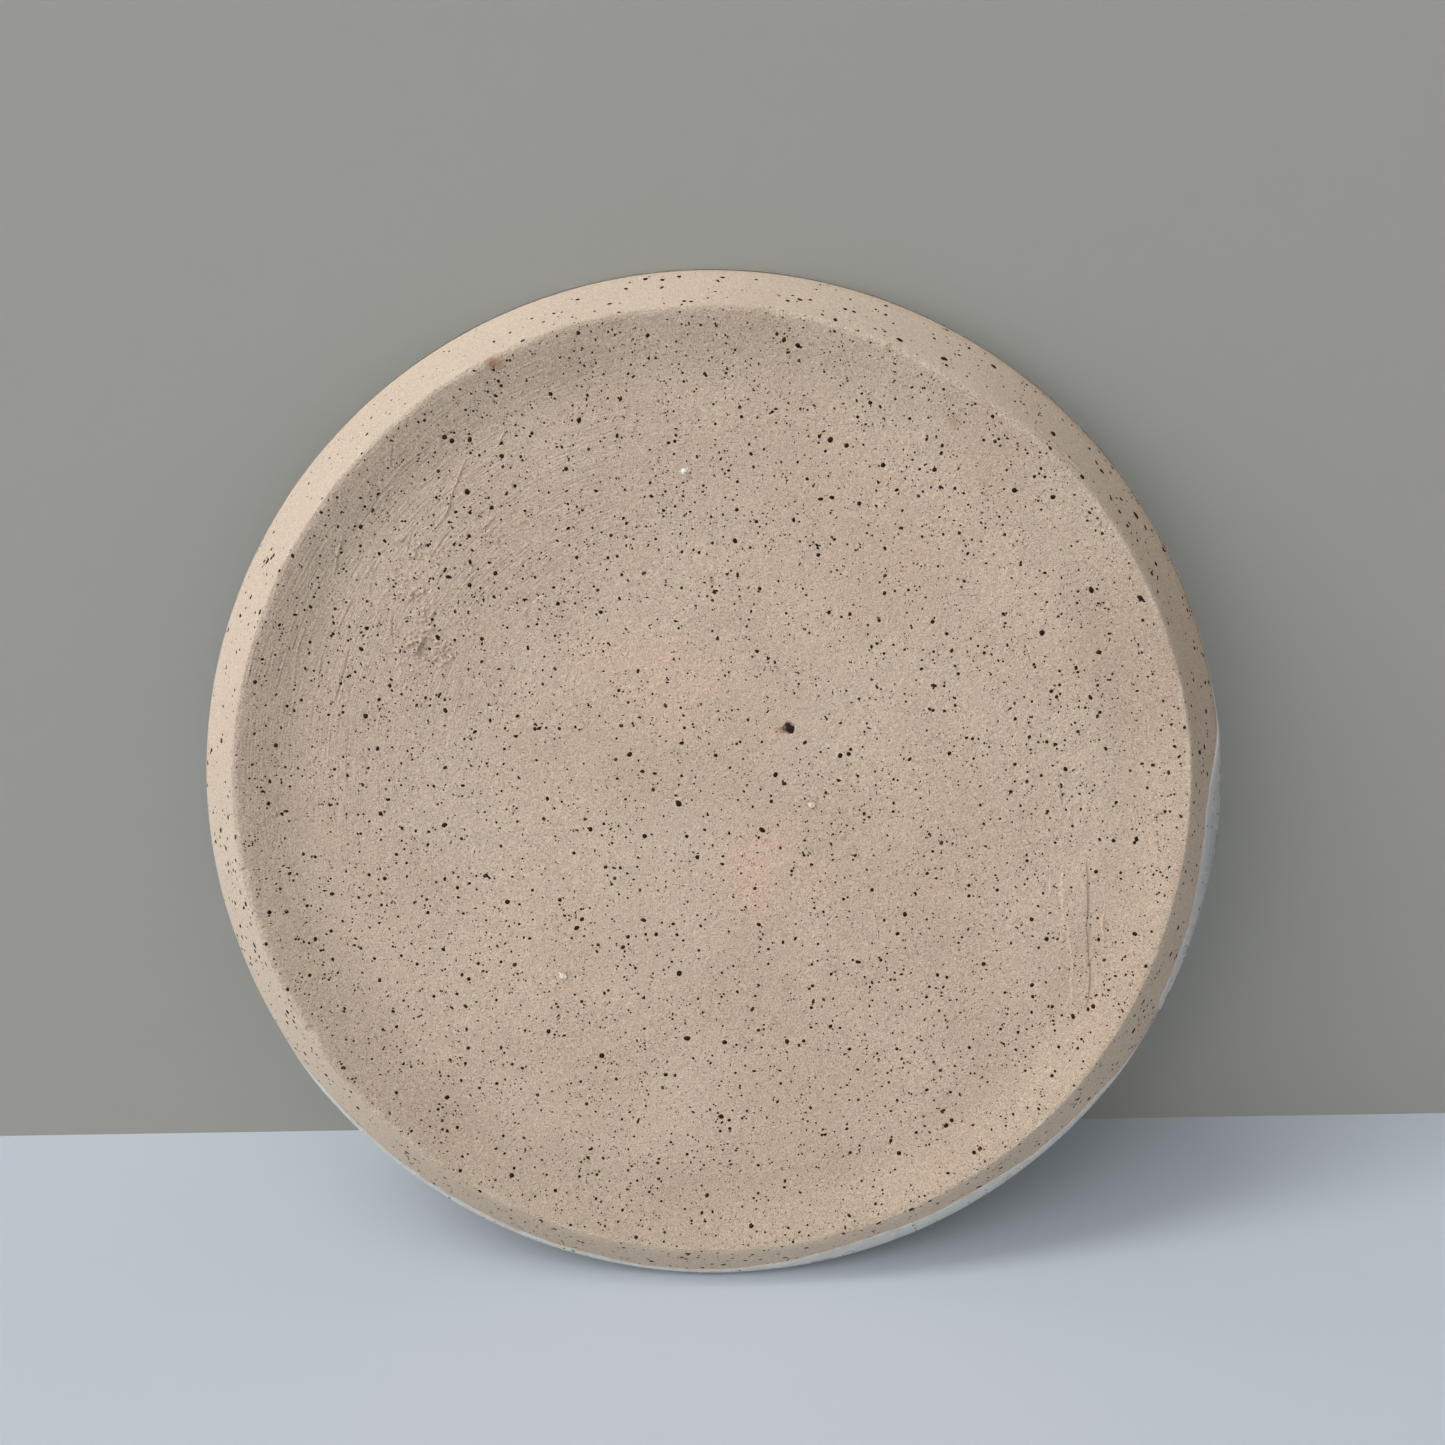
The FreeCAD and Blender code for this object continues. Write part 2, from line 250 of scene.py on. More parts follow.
def noise(x, y, size, seed):
    """Smooth noise from -1 to 1 with features of about the given size."""
    u, v = (part / size for part in rotated(x, y, seed * NOISE_TURN))
    i, j = np.floor(u).astype(np.int64), np.floor(v).astype(np.int64)
    fu, fv = u - i, v - j
    fu, fv = fu * fu * (3 - 2 * fu), fv * fv * (3 - 2 * fv)
    low = lattice(i, j, seed) * (1 - fu) + lattice(i + 1, j, seed) * fu
    high = lattice(i, j + 1, seed) * (1 - fu) + lattice(i + 1, j + 1, seed) * fu
    return low * (1 - fv) + high * fv


def rough(x, y, size, seed, octaves=3):
    """Noise with finer noise on top of it."""
    return sum(noise(x, y, size / 2**k, seed + k) / 2**k for k in range(octaves))


def round_noise(azimuth, size, seed):
    """Noise that runs round the plate without a seam; size is in degrees."""
    return noise(*polar(57.3 / size, azimuth), 1.0, seed)


# ---- marks on the underside

# Each stroke: the points it runs through, half width, height (a groove is below 0).
STROKES = (
    # the curved tear that the light catches, with grooves below and beside it
    (
        ((62.2, 87.3), (63.7, 83.6), (65.0, 80.8), (66.2, 78.0), (66.7, 74.8), (68.8, 71.6), (70.5, 70.0)),
        0.32, 0.26,
    ),
    (((67.0, 68.6), (68.0, 67.1), (70.0, 64.3), (71.7, 61.9)), 0.32, -0.22),
    (((67.6, 60.0), (69.2, 57.4), (70.0, 56.0)), 0.30, -0.20),
    (((79.9, 91.6), (80.5, 88.8), (80.9, 85.5)), 0.26, -0.12),
    (((52.1, 94.2), (53.1, 92.4), (53.8, 90.5)), 0.28, 0.16),
    (((75.8, 69.5), (76.8, 67.2), (77.7, 63.6)), 0.28, -0.17),
    (((81.7, 48.4), (82.3, 44.3), (82.0, 40.2)), 0.30, -0.17),
    (((64.7, 64.8), (63.2, 65.0), (62.0, 65.6)), 0.24, 0.13),
    (((79.2, 37.3), (77.5, 37.0), (75.3, 37.6)), 0.24, 0.16),
    # long marks that follow the ring
    (((94.0, 68.6), (95.7, 62.9), (97.1, 57.2)), 0.32, 0.16),
    (((92.5, 52.0), (94.5, 48.2), (96.6, 43.8)), 0.32, 0.17),
    (((93.4, 38.5), (95.0, 33.2), (97.8, 24.5)), 0.32, -0.18),
    (((98.0, 46.0), (101.0, 38.0), (102.5, 28.0)), 0.34, 0.10),
    (((104.0, 47.0), (107.0, 39.0), (108.5, 30.0)), 0.34, 0.09),
    (((94.0, 20.0), (95.5, 10.0), (95.0, 1.0)), 0.32, -0.09),
    (((85.0, 62.0), (87.5, 57.0), (88.2, 52.0)), 0.34, 0.11),
    (((80.0, 82.0), (85.0, 77.0), (89.0, 71.0)), 0.32, -0.09),
    (((72.0, 90.0), (78.0, 86.0), (84.0, 79.0)), 0.32, 0.09),
    (((90.6, 23.0), (91.3, 22.0), (91.8, 20.4)), 0.24, 0.15),
    # short marks on the right, beside the raised smear
    (((-91.4, 7.4), (-92.3, 2.3), (-92.8, -2.2)), 0.30, -0.22),
    (((-104.4, -30.4), (-103.9, -33.6), (-104.7, -38.0)), 0.32, 0.16),
    (((-82.0, 39.4), (-83.5, 35.4)), 0.26, -0.16),
    (((-64.0, 52.4), (-70.3, 52.5)), 0.22, -0.12),
    (((-75.0, 88.0), (-78.0, 86.5), (-80.0, 84.0)), 0.28, 0.09),
    # grooves along the stretch where the crest is worn away
    (((-61.0, 106.0), (-72.0, 101.0), (-83.0, 94.5)), 0.40, -0.14),
    (((-83.3, 95.8), (-88.0, 91.5), (-94.4, 84.9)), 0.36, -0.20),
)
# a thin slab of clay smeared onto the underside, between two lines
SMEAR_INNER = (
    (-92.5, -17.0), (-93.3, -25.0), (-93.7, -31.7), (-95.4, -37.7), (-96.4, -42.9), (-95.9, -57.0),
)
SMEAR_OUTER = (
    (-99.3, -17.0), (-100.3, -32.5), (-99.6, -34.7), (-100.5, -39.3), (-101.2, -53.8), (-99.7, -57.0),
)
SMEAR_HEIGHT = 0.42
# torn, crumbly patches: centre, half length, half width, direction of the length in degrees, height
TORN = (
    ((75.3, 46.5), 10.0, 5.0, 95.0, 0.56),
    ((70.5, 37.8), 7.0, 4.0, 20.0, 0.50),
    ((75.5, 64.0), 8.0, 4.0, 25.0, 0.42),
    ((57.0, 71.0), 7.0, 4.0, 60.0, 0.32),
    ((47.5, 46.0), 5.0, 3.0, 90.0, 0.20),
    ((79.5, 58.0), 6.0, 3.0, 100.0, 0.34),
    ((79.0, 34.0), 3.0, 2.5, 0.0, 0.20),
    ((-52.0, 30.0), 7.0, 3.0, 80.0, 0.14),
    ((-78.0, 60.0), 6.0, 3.0, 100.0, 0.13),
    ((20.0, -62.0), 9.0, 3.0, 20.0, 0.09),
)
DEEPLY_TORN = 0.15
FAINT = 0.085
# chips out of the crest: x, y, size, depth
CHIPS = (
    (122.6, -20.0, 1.6, 0.45), (106.5, -63.5, 2.0, 0.35), (60.0, 109.0, 1.5, 0.30), (-88.0, -87.5, 1.4, 0.3),
)
# blisters left as low rings: x, y, radius
BLISTERS = (
    (111.2, 13.5, 0.6), (119.5, -7.8, 0.5), (120.7, -20.0, 0.5), (-99.9, 63.3, 0.6), (91.3, 47.0, 0.5),
)
BLISTER_HEIGHT = 0.10
# How worn the crest is: azimuth in degrees, and a share from sharp, 0, to worn away, 1.
CREST_WEAR = (
    (0, 0.3), (30, 0.05), (60, 0), (95, 0.05), (108, 0.5), (123, 1), (150, 0.6), (175, 0.25), (225, 0.3),
    (250, 0.7), (270, 1.0), (300, 0.9), (320, 0.6), (340, 0.4), (360, 0.30),
)
# the stretch that was pressed inwards: azimuth in degrees, half length in degrees, distance
PRESSED = (123.0, 17.0, 1.2)
# rusty spots where iron bled: x, y, radius, strength
RUST = (
    (54.0, 111.0, 2.7, 1.0), (-45.6, 115.4, 1.3, 0.9), (-0.7, 56.5, 1.0, 0.9), (78.5, 10.0, 1.2, 0.5),
    (-117.5, -12.0, 1.0, 0.4), (-62.0, 97.0, 3.0, 0.25), (-26.5, -1.5, 1.0, 0.8), (88.0, 20.5, 0.9, 0.6),
    (47.3, 71.1, 1.1, 0.5),
)
# pink patches left by the fire: x, y, half width, half height, strength
FLUSH = (
    (-14, -19, 17, 15, 1.0), (13, 30, 24, 15, 0.7), (48, -40, 22, 26, 0.35), (-55, -10, 28, 30, 0.25),
    (-40, 60, 40, 26, 0.3),
)


def softened(points, times=2):
    """A line of points with its corners cut off, and then cut again."""
    points = np.array(points, float)
    for _ in range(times):
        before, after = points[:-1], points[1:]
        cuts = np.stack([0.75 * before + 0.25 * after, 0.25 * before + 0.75 * after], 1)
        points = np.vstack([points[:1], cuts.reshape(-1, 2), points[-1:]])
    return points


def from_line(x, y, points):
    """Signed distance from a line of points, and how far along it, from 0 to 1."""
    best = np.full(x.shape, 1e9)
    side, part = np.zeros(x.shape), np.zeros(x.shape)
    count = len(points) - 1
    for k in range(count):
        (ax, ay), (bx, by) = points[k], points[k + 1]
        dx, dy = bx - ax, by - ay
        along = np.clip(((x - ax) * dx + (y - ay) * dy) / (dx * dx + dy * dy), 0, 1)
        away = np.hypot(x - ax - along * dx, y - ay - along * dy)
        near = away < best
        cross = (x - ax) * dy - (y - ay) * dx
        best = np.where(near, away, best)
        side = np.where(near, np.sign(cross), side)
        part = np.where(near, (k + along) / count, part)
    return best * side, part


def near_box(x, y, points, margin):
    """Whether a place is in the box round some points, with a margin."""
    low, high = points.min(0) - margin, points.max(0) + margin
    return (x > low[0]) & (x < high[0]) & (y > low[1]) & (y < high[1])


def short_mark(middle, half, turn, bend, width, height):
    """A stroke of three points, from one end through a bend near its middle to the other."""
    (x, y), (dx, dy) = middle, polar(half, turn)
    return ((x - dx, y - dy), (x + bend[0], y + bend[1]), (x + dx, y + dy)), width, height


def drag_mark(draw):
    """A faint mark dragged along the ring, mostly on the side that was wiped."""
    azimuth = math.radians(draw.gauss(35, 48))
    radius = PLATE["foot"] * draw.uniform(0.35, 0.97)
    length = draw.uniform(1.5, 8.0) if draw.random() < 0.6 else draw.uniform(0.8, 2.0)
    turn = azimuth + math.pi / 2 + draw.gauss(0, 0.3)
    width = draw.uniform(0.22, 0.36)
    height = draw.choice((-1, -1, 1)) * draw.uniform(0.04, 0.11)
    bend = polar(length * 0.06, azimuth)
    return short_mark(polar(radius, azimuth), length / 2, turn, bend, width, height)


def scuff(draw):
    """A short, sharp scuff or pick, anywhere on the underside."""
    azimuth = draw.uniform(-math.pi, math.pi)
    radius = 118.0 * math.sqrt(draw.random())
    half = draw.uniform(0.4, 1.1)
    turn = draw.uniform(0, math.pi)
    dx, dy = polar(half, turn)
    bend = (-dy * draw.uniform(-0.4, 0.4), dx * draw.uniform(-0.4, 0.4))
    height = draw.choice((-1, -1, 1)) * draw.uniform(0.10, 0.24)
    return short_mark(polar(radius, azimuth), half, turn, bend, draw.uniform(0.15, 0.22), height)


def every_stroke():
    """The placed strokes, cut sharper, and the random ones."""
    strokes = [(points, width * 0.78, height * 1.45) for points, width, height in STROKES]
    drags, picks = random.Random(5), random.Random(7)
    strokes += [drag_mark(drags) for _ in range(80)]
    strokes += [scuff(picks) for _ in range(130)]
    return [(softened(points), width, height) for points, width, height in strokes]


BURST = node_islands("burst_nodule")[0]
CRATER = 1.7
MARKS = every_stroke()
SMEAR_EDGES = (softened(SMEAR_INNER), softened(SMEAR_OUTER))


def stroke_relief(x, y, points, width, height):
    """A groove or a ridge that tapers at both ends, with a little clay pushed up beside a groove."""
    away, part = from_line(x, y, points)
    away = away + noise(x, y, 2.5, 31) * 0.3 * width
    taper = np.sqrt(np.clip(np.sin(np.pi * np.clip(part, 0.001, 0.999)), 0, 1))
    shape = height * bump(away, 0, width)
    if height < 0:
        shape = shape - 0.45 * height * bump(abs(away), 2.1 * width, 0.9 * width)
    return shape * taper * (1 + 0.35 * noise(x, y, 3.0, 12))


def smear_relief(x, y):
    """A low slab of clay between its two ragged edges."""
    inner, outer = SMEAR_EDGES
    wander = noise(x, y, 5.0, 44) * 0.5 + noise(x, y, 1.8, 45) * 0.25
    from_inner, part = from_line(x, y, inner)
    from_outer, _ = from_line(x, y, outer)
    across = ramp(from_inner + wander, -0.2, 0.25) * ramp(-from_outer + wander * 0.5, -0.2, 0.2)
    ends = ramp(part, 0.0, 0.15) * (1 - ramp(part, 0.88, 1.0))
    return SMEAR_HEIGHT * across * ends * (1 + 0.25 * noise(x, y, 3.0, 46))


def torn_share(x, y, patch):
    """How torn a place is by a patch, from 0 outside it to 1 well inside."""
    (cx, cy), long, wide, direction, _ = patch
    u, v = rotated(x - cx, y - cy, -math.radians(direction))
    return 1 - ramp(np.hypot(u / long, v / wide) + 0.3 * noise(x, y, 4.0, 21), 0.7, 1.0)


def torn_relief(x, y, patch):
    """Crumbly texture, in ragged spots."""
    spots = ramp(noise(x, y, 4.0, 23) + 0.5 * noise(x, y, 1.8, 24), -0.9, -0.1)
    crumbs = np.maximum(noise(x, y, 1.1, 25) + 0.7 * noise(x, y, 0.6, 26), -0.22)
    return patch[-1] * torn_share(x, y, patch) * spots * crumbs


def chip_relief(x, y, chip):
    """A shallow bite out of the clay."""
    cx, cy, size, depth = chip
    away = np.hypot(x - cx, y - cy) + 0.4 * noise(x, y, 1.2, 51)
    return -depth * (1 - ramp(away, 0.3 * size, size))


def blister_relief(x, y, blister):
    """A low ring round a small dip."""
    cx, cy, radius = blister
    away = np.hypot(x - cx, y - cy) + 0.15 * noise(x, y, 0.9, 53)
    return BLISTER_HEIGHT * (bump(away, radius, 0.28) - 0.6 * bump(away, 0, 0.5 * radius))


def crater_relief(x, y, crater):
    """The pit the burst nodule lies in, with a low torn rim."""
    cx, cy, radius = crater
    away = np.hypot(x - cx, y - cy) + 0.25 * noise(x, y, 0.9, 61)
    return -0.75 * (1 - ramp(away, 0.7 * radius, radius)) + 0.07 * bump(away, radius * 1.15, 0.4)


def every_mark():
    """Each small mark: a box round it, how fine it is, its distance function and its relief function.

    The functions are made to be called before the next mark is asked for.
    """
    for points, width, height in MARKS:
        yield (
            points, 3 * width, abs(height) > FAINT,
            lambda x, y: abs(from_line(x, y, points)[0]) - 1.8 * width,
            lambda x, y: stroke_relief(x, y, points, width, height),
        )
    for patch in TORN:
        yield (
            np.array([patch[0]]), 1.5 * patch[1], patch[-1] > DEEPLY_TORN,
            lambda x, y: 0.5 - torn_share(x, y, patch),
            lambda x, y: torn_relief(x, y, patch),
        )
    # for each round mark, its box and the edge to refine, in radii
    round_marks = [(chip, 2.0, 1.2, chip_relief) for chip in CHIPS]
    round_marks += [(blister, 3.0, 1.6, blister_relief) for blister in BLISTERS]
    round_marks.append(((*BURST[:2], CRATER), 1.6, 1.3, crater_relief))
    for mark, box, edge, relief in round_marks:
        cx, cy, size = mark[:3]
        yield (
            np.array([[cx, cy]]), box * size, True,
            lambda x, y: np.hypot(x - cx, y - cy) - edge * size,
            lambda x, y: relief(x, y, mark),
        )
    yield (
        np.vstack(SMEAR_EDGES), 1.5, True,
        lambda x, y: np.minimum(*(abs(from_line(x, y, edge)[0]) for edge in SMEAR_EDGES)) - 0.5,
        smear_relief,
    )


def near_marks(x, y, margin, fine):
    """Whether a map place is on a small mark, or within a margin of it."""
    found = np.zeros(x.shape, bool)
    for points, reach, sharp, away, _ in every_mark():
        if sharp or not fine:
            inside = near_box(x, y, points, reach + margin)
            found[inside] |= away(x[inside], y[inside]) < margin
    if not fine:
        for cx, cy, radius, _ in RUST:
            found |= np.hypot(x - cx, y - cy) < radius + margin
    return found


def fine_marks(x, y):
    """Every small mark on the bare clay, in millimetres outwards. None stands proud of the crest."""
    total = np.zeros(x.shape)
    for points, reach, _, _, relief in every_mark():
        inside = near_box(x, y, points, reach)
        total[inside] += relief(x[inside], y[inside])
    low_crest = 1 - bump(np.hypot(x, y), SECTION.crest, 2.5)
    return np.where(total > 0, total * low_crest, total)


def broad_relief(x, y, along, azimuth):
    """Slow waves in the slab, the nicked crest, and the uneven wall."""
    off_crest = 1 - bump(along, SECTION.crest, 6.0)
    wall = ramp(along, SECTION.crest + 1, SECTION.crest + 3)
    waves = 0.10 * rough(x, y, 38.0, 71) + 0.035 * rough(x, y, 9.0, 75)
    nicks = ramp(round_noise(azimuth, 1.2, 83), 0.45, 0.9)
    crest = -0.04 * bump(along, SECTION.crest, 1.3) - 0.08 * nicks * bump(along, SECTION.crest, 0.8)
    facets = 0.05 * round_noise(azimuth, 7.0, 85) + 0.03 * rough(x, y, 5.0, 86)
    return waves * off_crest * (1 - 0.8 * wall) + crest + facets * wall


def crest_shift(along, azimuth):
    """How far the crest wanders outwards from a true circle."""
    centre, reach, distance = PRESSED
    pressed = distance * bump(turned(azimuth, centre), 0, reach)
    sideways = 0.22 * round_noise(azimuth, 24.0, 91) + 0.10 * round_noise(azimuth, 6.0, 92) - pressed
    return sideways * bump(along, SECTION.crest, 4.5)


def clay_surface(u, v, height=0.0):
    """The point on the clay at a map place, stood off it by a height, in millimetres."""
    along, azimuth = from_centre(u, v)
    wear = by_azimuth(azimuth, CREST_WEAR) * bump(along, SECTION.crest, 5.0)
    radius, level, out, up = (
        sharp + (soft - sharp) * wear for sharp, soft in zip(SECTION.at(along), WORN.at(along))
    )
    radius = radius + crest_shift(along, azimuth) + out * height
    level = level + up * height
    return np.stack([*polar(radius, azimuth), level], -1)


def clay_points(u, v):
    """The clay's surface with all its relief. Nothing goes below the plane it stands on."""
    along, azimuth = from_centre(u, v)
    bare = 1 - ramp(along, SECTION.widest - 2, SECTION.widest)
    relief = broad_relief(u, v, along, azimuth) + fine_marks(u, v)
    points = clay_surface(u, v, relief * bare)
    points[:, 2] = np.maximum(points[:, 2], 0)
    return points


# ---- meshes


def ring_mesh(rings):
    """Triangles over a disc of the map: ring k has 6k points, so they stay about as wide as long."""
    places = [np.zeros((1, 2))]
    faces = []
    first = 1
    for k, radius in enumerate(rings, start=1):
        turn = 2 * np.pi * np.arange(6 * k) / (6 * k)
        places.append(np.stack(polar(radius, turn), 1))
        inner_count = max(1, 6 * (k - 1))
        inner_first = first - inner_count
        for sixth in range(6):
            step = np.arange(k)
            outer = first + (sixth * k + step) % (6 * k)
            outer_next = first + (sixth * k + step + 1) % (6 * k)
            inner = inner_first + (sixth * (k - 1) + step) % inner_count
            faces.append(np.stack([inner, outer, outer_next], 1))
            if k > 1:
                faces.append(np.stack([inner[:-1], outer_next[:-1], inner[1:]], 1))
        first += 6 * k
    return np.vstack(places), np.vstack(faces)


def split(places, faces, chosen):
    """Cuts the chosen triangles in four, and their neighbours just enough to stay joined."""
    edges = np.sort(np.stack([faces, np.roll(faces, -1, 1)], 2).reshape(-1, 2), 1)
    keys = edges[:, 0] * len(places) + edges[:, 1]
    unique, where = np.unique(keys, return_inverse=True)
    where = where.reshape(-1, 3)
    cut = np.zeros(len(unique), bool)
    cut[where[chosen].ravel()] = True
    new_index = np.where(cut, len(places) + np.cumsum(cut) - 1, -1)
    ends = np.stack([unique // len(places), unique % len(places)], 1)[cut]
    places = np.vstack([places, places[ends].mean(1)])
    middle = new_index[where]
    count = (middle >= 0).sum(1)
    result = [faces[count == 0]]
    a, b, c = faces[count == 3].T
    ab, bc, ca = middle[count == 3].T
    result += [np.stack(t, 1) for t in ((a, ab, ca), (ab, b, bc), (ca, bc, c), (ab, bc, ca))]
    for turn in range(3):
        f, m = np.roll(faces, -turn, 1), np.roll(middle, -turn, 1)
        one = (count == 1) & (m[:, 0] >= 0)
        a, b, c = f[one].T
        ab = m[one, 0]
        result += [np.stack(t, 1) for t in ((a, ab, c), (ab, b, c))]
        two = (count == 2) & (m[:, 0] >= 0) & (m[:, 1] >= 0)
        a, b, c = f[two].T
        ab, bc = m[two, 0], m[two, 1]
        result += [np.stack(t, 1) for t in ((a, ab, c), (ab, bc, c), (ab, b, bc))]
    return places, np.vstack(result)


def add_object(name, data):
    """A new object, in the scene."""
    thing = bpy.data.objects.new(name, data)
    bpy.context.scene.collection.objects.link(thing)
    return thing


def make_mesh(name, points, faces, smooth=True):
    """A closed object from points in millimetres and lists of corners, its faces turned outwards."""
    mesh = bpy.data.meshes.new(name)
    mesh.from_pydata((np.asarray(points) * METRES).tolist(), [], [list(map(int, f)) for f in faces])
    shape = bmesh.new()
    shape.from_mesh(mesh)
    bmesh.ops.recalc_face_normals(shape, faces=shape.faces)
    shape.to_mesh(mesh)
    shape.free()
    if smooth:
        mesh.shade_smooth()
    return add_object(name, mesh)


def store(piece, name, values):
    """A value at each vertex, for the materials to read. The hidden vertices come last, and get 0."""
    padded = np.zeros(len(piece.data.vertices), np.float32)
    padded[: len(values)] = values
    layer = piece.data.attributes.new(name, "FLOAT", "POINT")
    layer.data.foreach_set("value", padded)


def outer_ring(places):
    """Which map places are the outermost, in order round the plate."""
    far = np.hypot(*places.T)
    outer = np.flatnonzero(far > far.max() - EXACT)
    return outer[np.argsort(np.arctan2(places[outer, 1], places[outer, 0]))]


def close_over(points, faces, ring, rows, hub):
    """Carries a skin on from its last ring through rows of points, and closes it at a hub."""
    step = np.arange(len(ring))
    onward = (step + 1) % len(ring)
    for row in rows:
        following = len(points) + step
        points.extend(row.tolist())
        faces.extend(np.stack([ring, ring[onward], following], 1).tolist())
        faces.extend(np.stack([ring[onward], following[onward], following], 1).tolist())
        ring = following
    points.append(hub)
    centre = np.full(len(ring), len(points) - 1)
    faces.extend(np.stack([ring, ring[onward], centre], 1).tolist())


# ---- pieces


def clay_rings():
    """Section lengths of the clay's rings: even on the flat, close together where it turns."""
    flat, crest, widest = PLATE["flat"], SECTION.crest, SECTION.widest
    stretches = (
        (0, flat, 1.75),
        (flat, crest - 2, 1.25),
        (crest - 2, crest + 1.6, 0.3),
        (crest + 1.6, widest - 5, 1.0),
        (widest - 5, widest, 0.7),
    )
    rings = [np.arange(low, high, step) for low, high, step in stretches]
    return np.concatenate(rings + [[widest]])[1:]


# how far the hidden clay lies under the glaze, and how far past the widest circle it stays bare
UNDER_GLAZE = 0.35
BARE_LIP = 2.4
# each cut of the clay's triangles: the margin round a mark, and whether faint marks are passed over
CUTS = ((0.8, False), (0.4, False), (0.15, True))


def make_clay():
    """The bare clay, with the hidden upper side kept just under the glaze."""
    places, faces = ring_mesh(clay_rings())
    for margin, fine in CUTS:
        centre = places[faces].mean(1)
        places, faces = split(places, faces, near_marks(*centre.T, margin, fine))
    points = clay_points(*places.T).tolist()
    outer = outer_ring(places)
    turn = np.arctan2(places[outer, 1], places[outer, 0])
    bare_end, inner = SECTION.widest + BARE_LIP, SECTION.end - PLATE["well"]
    spans = [(reach, 0.0) for reach in np.linspace(SECTION.widest, bare_end, 4)[1:]]
    spans += [(reach, -UNDER_GLAZE) for reach in np.linspace(bare_end + UNDER_GLAZE, inner, 4)]
    rows = [clay_surface(*polar(reach, turn), height) for reach, height in spans]
    faces = faces.tolist()
    close_over(points, faces, outer, rows, [0, 0, PLATE["floor"] - UNDER_GLAZE])
    piece = make_mesh("clay_underside", points, faces)
    shade_clay(piece, places)
    return piece


def patchiness(u, v, spot, wide, high, edge):
    """1 in the middle of an oval spot, and 0 outside it, with a ragged edge."""
    away = np.hypot((u - spot[0]) / wide, (v - spot[1]) / high)
    return 1 - ramp(away + edge, 0.2, 1.1)


def shade_clay(piece, places):
    """Masks for the clay's material, one value at each vertex that isn't hidden."""
    u, v = places.T
    along, azimuth = from_centre(u, v)
    crest = SECTION.crest
    wall = ramp(along, crest + 0.2, crest + 1.2)
    ragged = 0.4 * rough(u, v, 8.0, 103)
    spots = ((BURST[0] + 1.6, BURST[1] - 0.5, 1.7, 1.0), *RUST)
    blur = 0.5 * noise(u, v, 1.0, 105)

    def near(centre, width):
        return bump(turned(azimuth, centre), 0, width)

    # darkens the ring just inside the crest, most at about 305 and 165 degrees
    ring_darkening = (0.2 + 0.32 * near(305.0, 45.0) + 0.32 * near(165.0, 24.0)) * ramp(along, 98, 112)
    masks = {
        "wall": wall,
        "worn": bump(along, crest, 0.9) * ramp(rough(u, v, 12.0, 101), -0.9, 0.4),
        "flush": sum(s * patchiness(u, v, (x, y), wide, high, ragged) for x, y, wide, high, s in FLUSH),
        "rust": sum(s * (1 - ramp(np.hypot(u - x, v - y) + blur, 0.2 * r, r)) for x, y, r, s in spots),
        "wiped": near(40.0, 55.0) * ramp(along, 45, 80) * (1 - wall),
        # on the wall: painted shade on the side turned away from the key light, at about 160 degrees, partly
        # a stain beside the glaze run, and a weaker darkening near 296 degrees; below the wall: the ring's
        # darkening
        "wall_shade_and_ring_darkening": wall * (near(160.0, 46.0) + 0.5 * near(296.0, 22.0)) + (1 - wall) * ring_darkening,
    }
    for name, values in masks.items():
        store(piece, name, values)


# Where the glaze ends: azimuth in degrees, and how far below the widest circle it reaches. Below 0 it
# ends on the lip, above that circle.
GLAZE_EDGE = (
    (0, -1.6), (166, -1.6), (169, 0.6), (172, 2.2), (175.5, 5.0), (179, 7.6), (182, 8.7), (188, 8.4),
    (191, 7.4), (195, 6.6), (200, 6.2), (204.4, 5.8), (205.6, 4.4), (206.2, 1.4), (210, 1.5), (215, 3.2),
    (218, 4.9), (224, 5.4), (230, 6.2), (234, 8.0), (238, 8.6), (242, 8.1), (248, 9.5), (252, 9.2),
    (256, 8.4), (260, 6.8), (264, 6.0), (268, 5.0), (272, 4.2), (278, 4.3), (284, 5.0), (290, 4.7),
    (302, 5.0), (314, 4.6), (321, 4.4), (325, 2.6), (329, 1.2), (334, -0.6), (340, -1.6), (360, -1.6),
)
GLAZE_BEAD = 0.22
GLAZE_TAIL = 7.0
GLAZE_UNDER = 0.2
# the section's length from the middle of the well to the widest circle
WELL_SPAN = SECTION.end - SECTION.widest
# the glaze's rings on its map: from, to, and how far apart
GLAZE_RINGS = (
    (0, PLATE["well"], 1.8),
    (PLATE["well"], WELL_SPAN, 0.8),
    (WELL_SPAN, WELL_SPAN + GLAZE_TAIL + 0.01, 0.5),
)


def glaze_reach(azimuth):
    """Length of the glaze below the widest circle."""
    reach = by_azimuth(azimuth, GLAZE_EDGE)
    wavy = 0.25 * round_noise(azimuth, 2.2, 111) + 0.12 * round_noise(azimuth, 0.9, 112)
    return reach + wavy * ramp(reach, 0.8, 2.5)


def glaze_places(u, v):
    """Section length under a glaze map place, and how far down its tail it is, from 0 to 1.

    The glaze's map has the floor in the middle, then the curve, the lip, and the tail down the outside.
    """
    span, azimuth = from_centre(u, v)
    down = np.clip((span - WELL_SPAN) / GLAZE_TAIL, 0, 1)
    along = np.where(span < WELL_SPAN, SECTION.end - span, SECTION.widest - down * glaze_reach(azimuth))
    return along, azimuth, down


def glaze_points(u, v):
    """The glaze's outer face: an even skin, thinner on the lip, with a rolled bead at the tail's end."""
    along, azimuth, down = glaze_places(u, v)
    bulge = GLAZE_BEAD * bump(down, 0.8, 0.3) * ramp(glaze_reach(azimuth), 1.0, 3.5)
    lip_thin = 1 - 0.35 * bump(along, SECTION.top, 1.6)
    swell = 0.05 * rough(u, v, 30.0, 115) + 0.02 * noise(u, v, 7.0, 118)
    full = (PLATE["skin"] * lip_thin + swell * (1 - down) + bulge) * np.sqrt(np.clip(1 - down**6, 0, 1))
    return clay_surface(*polar(along, azimuth), full - 0.02)


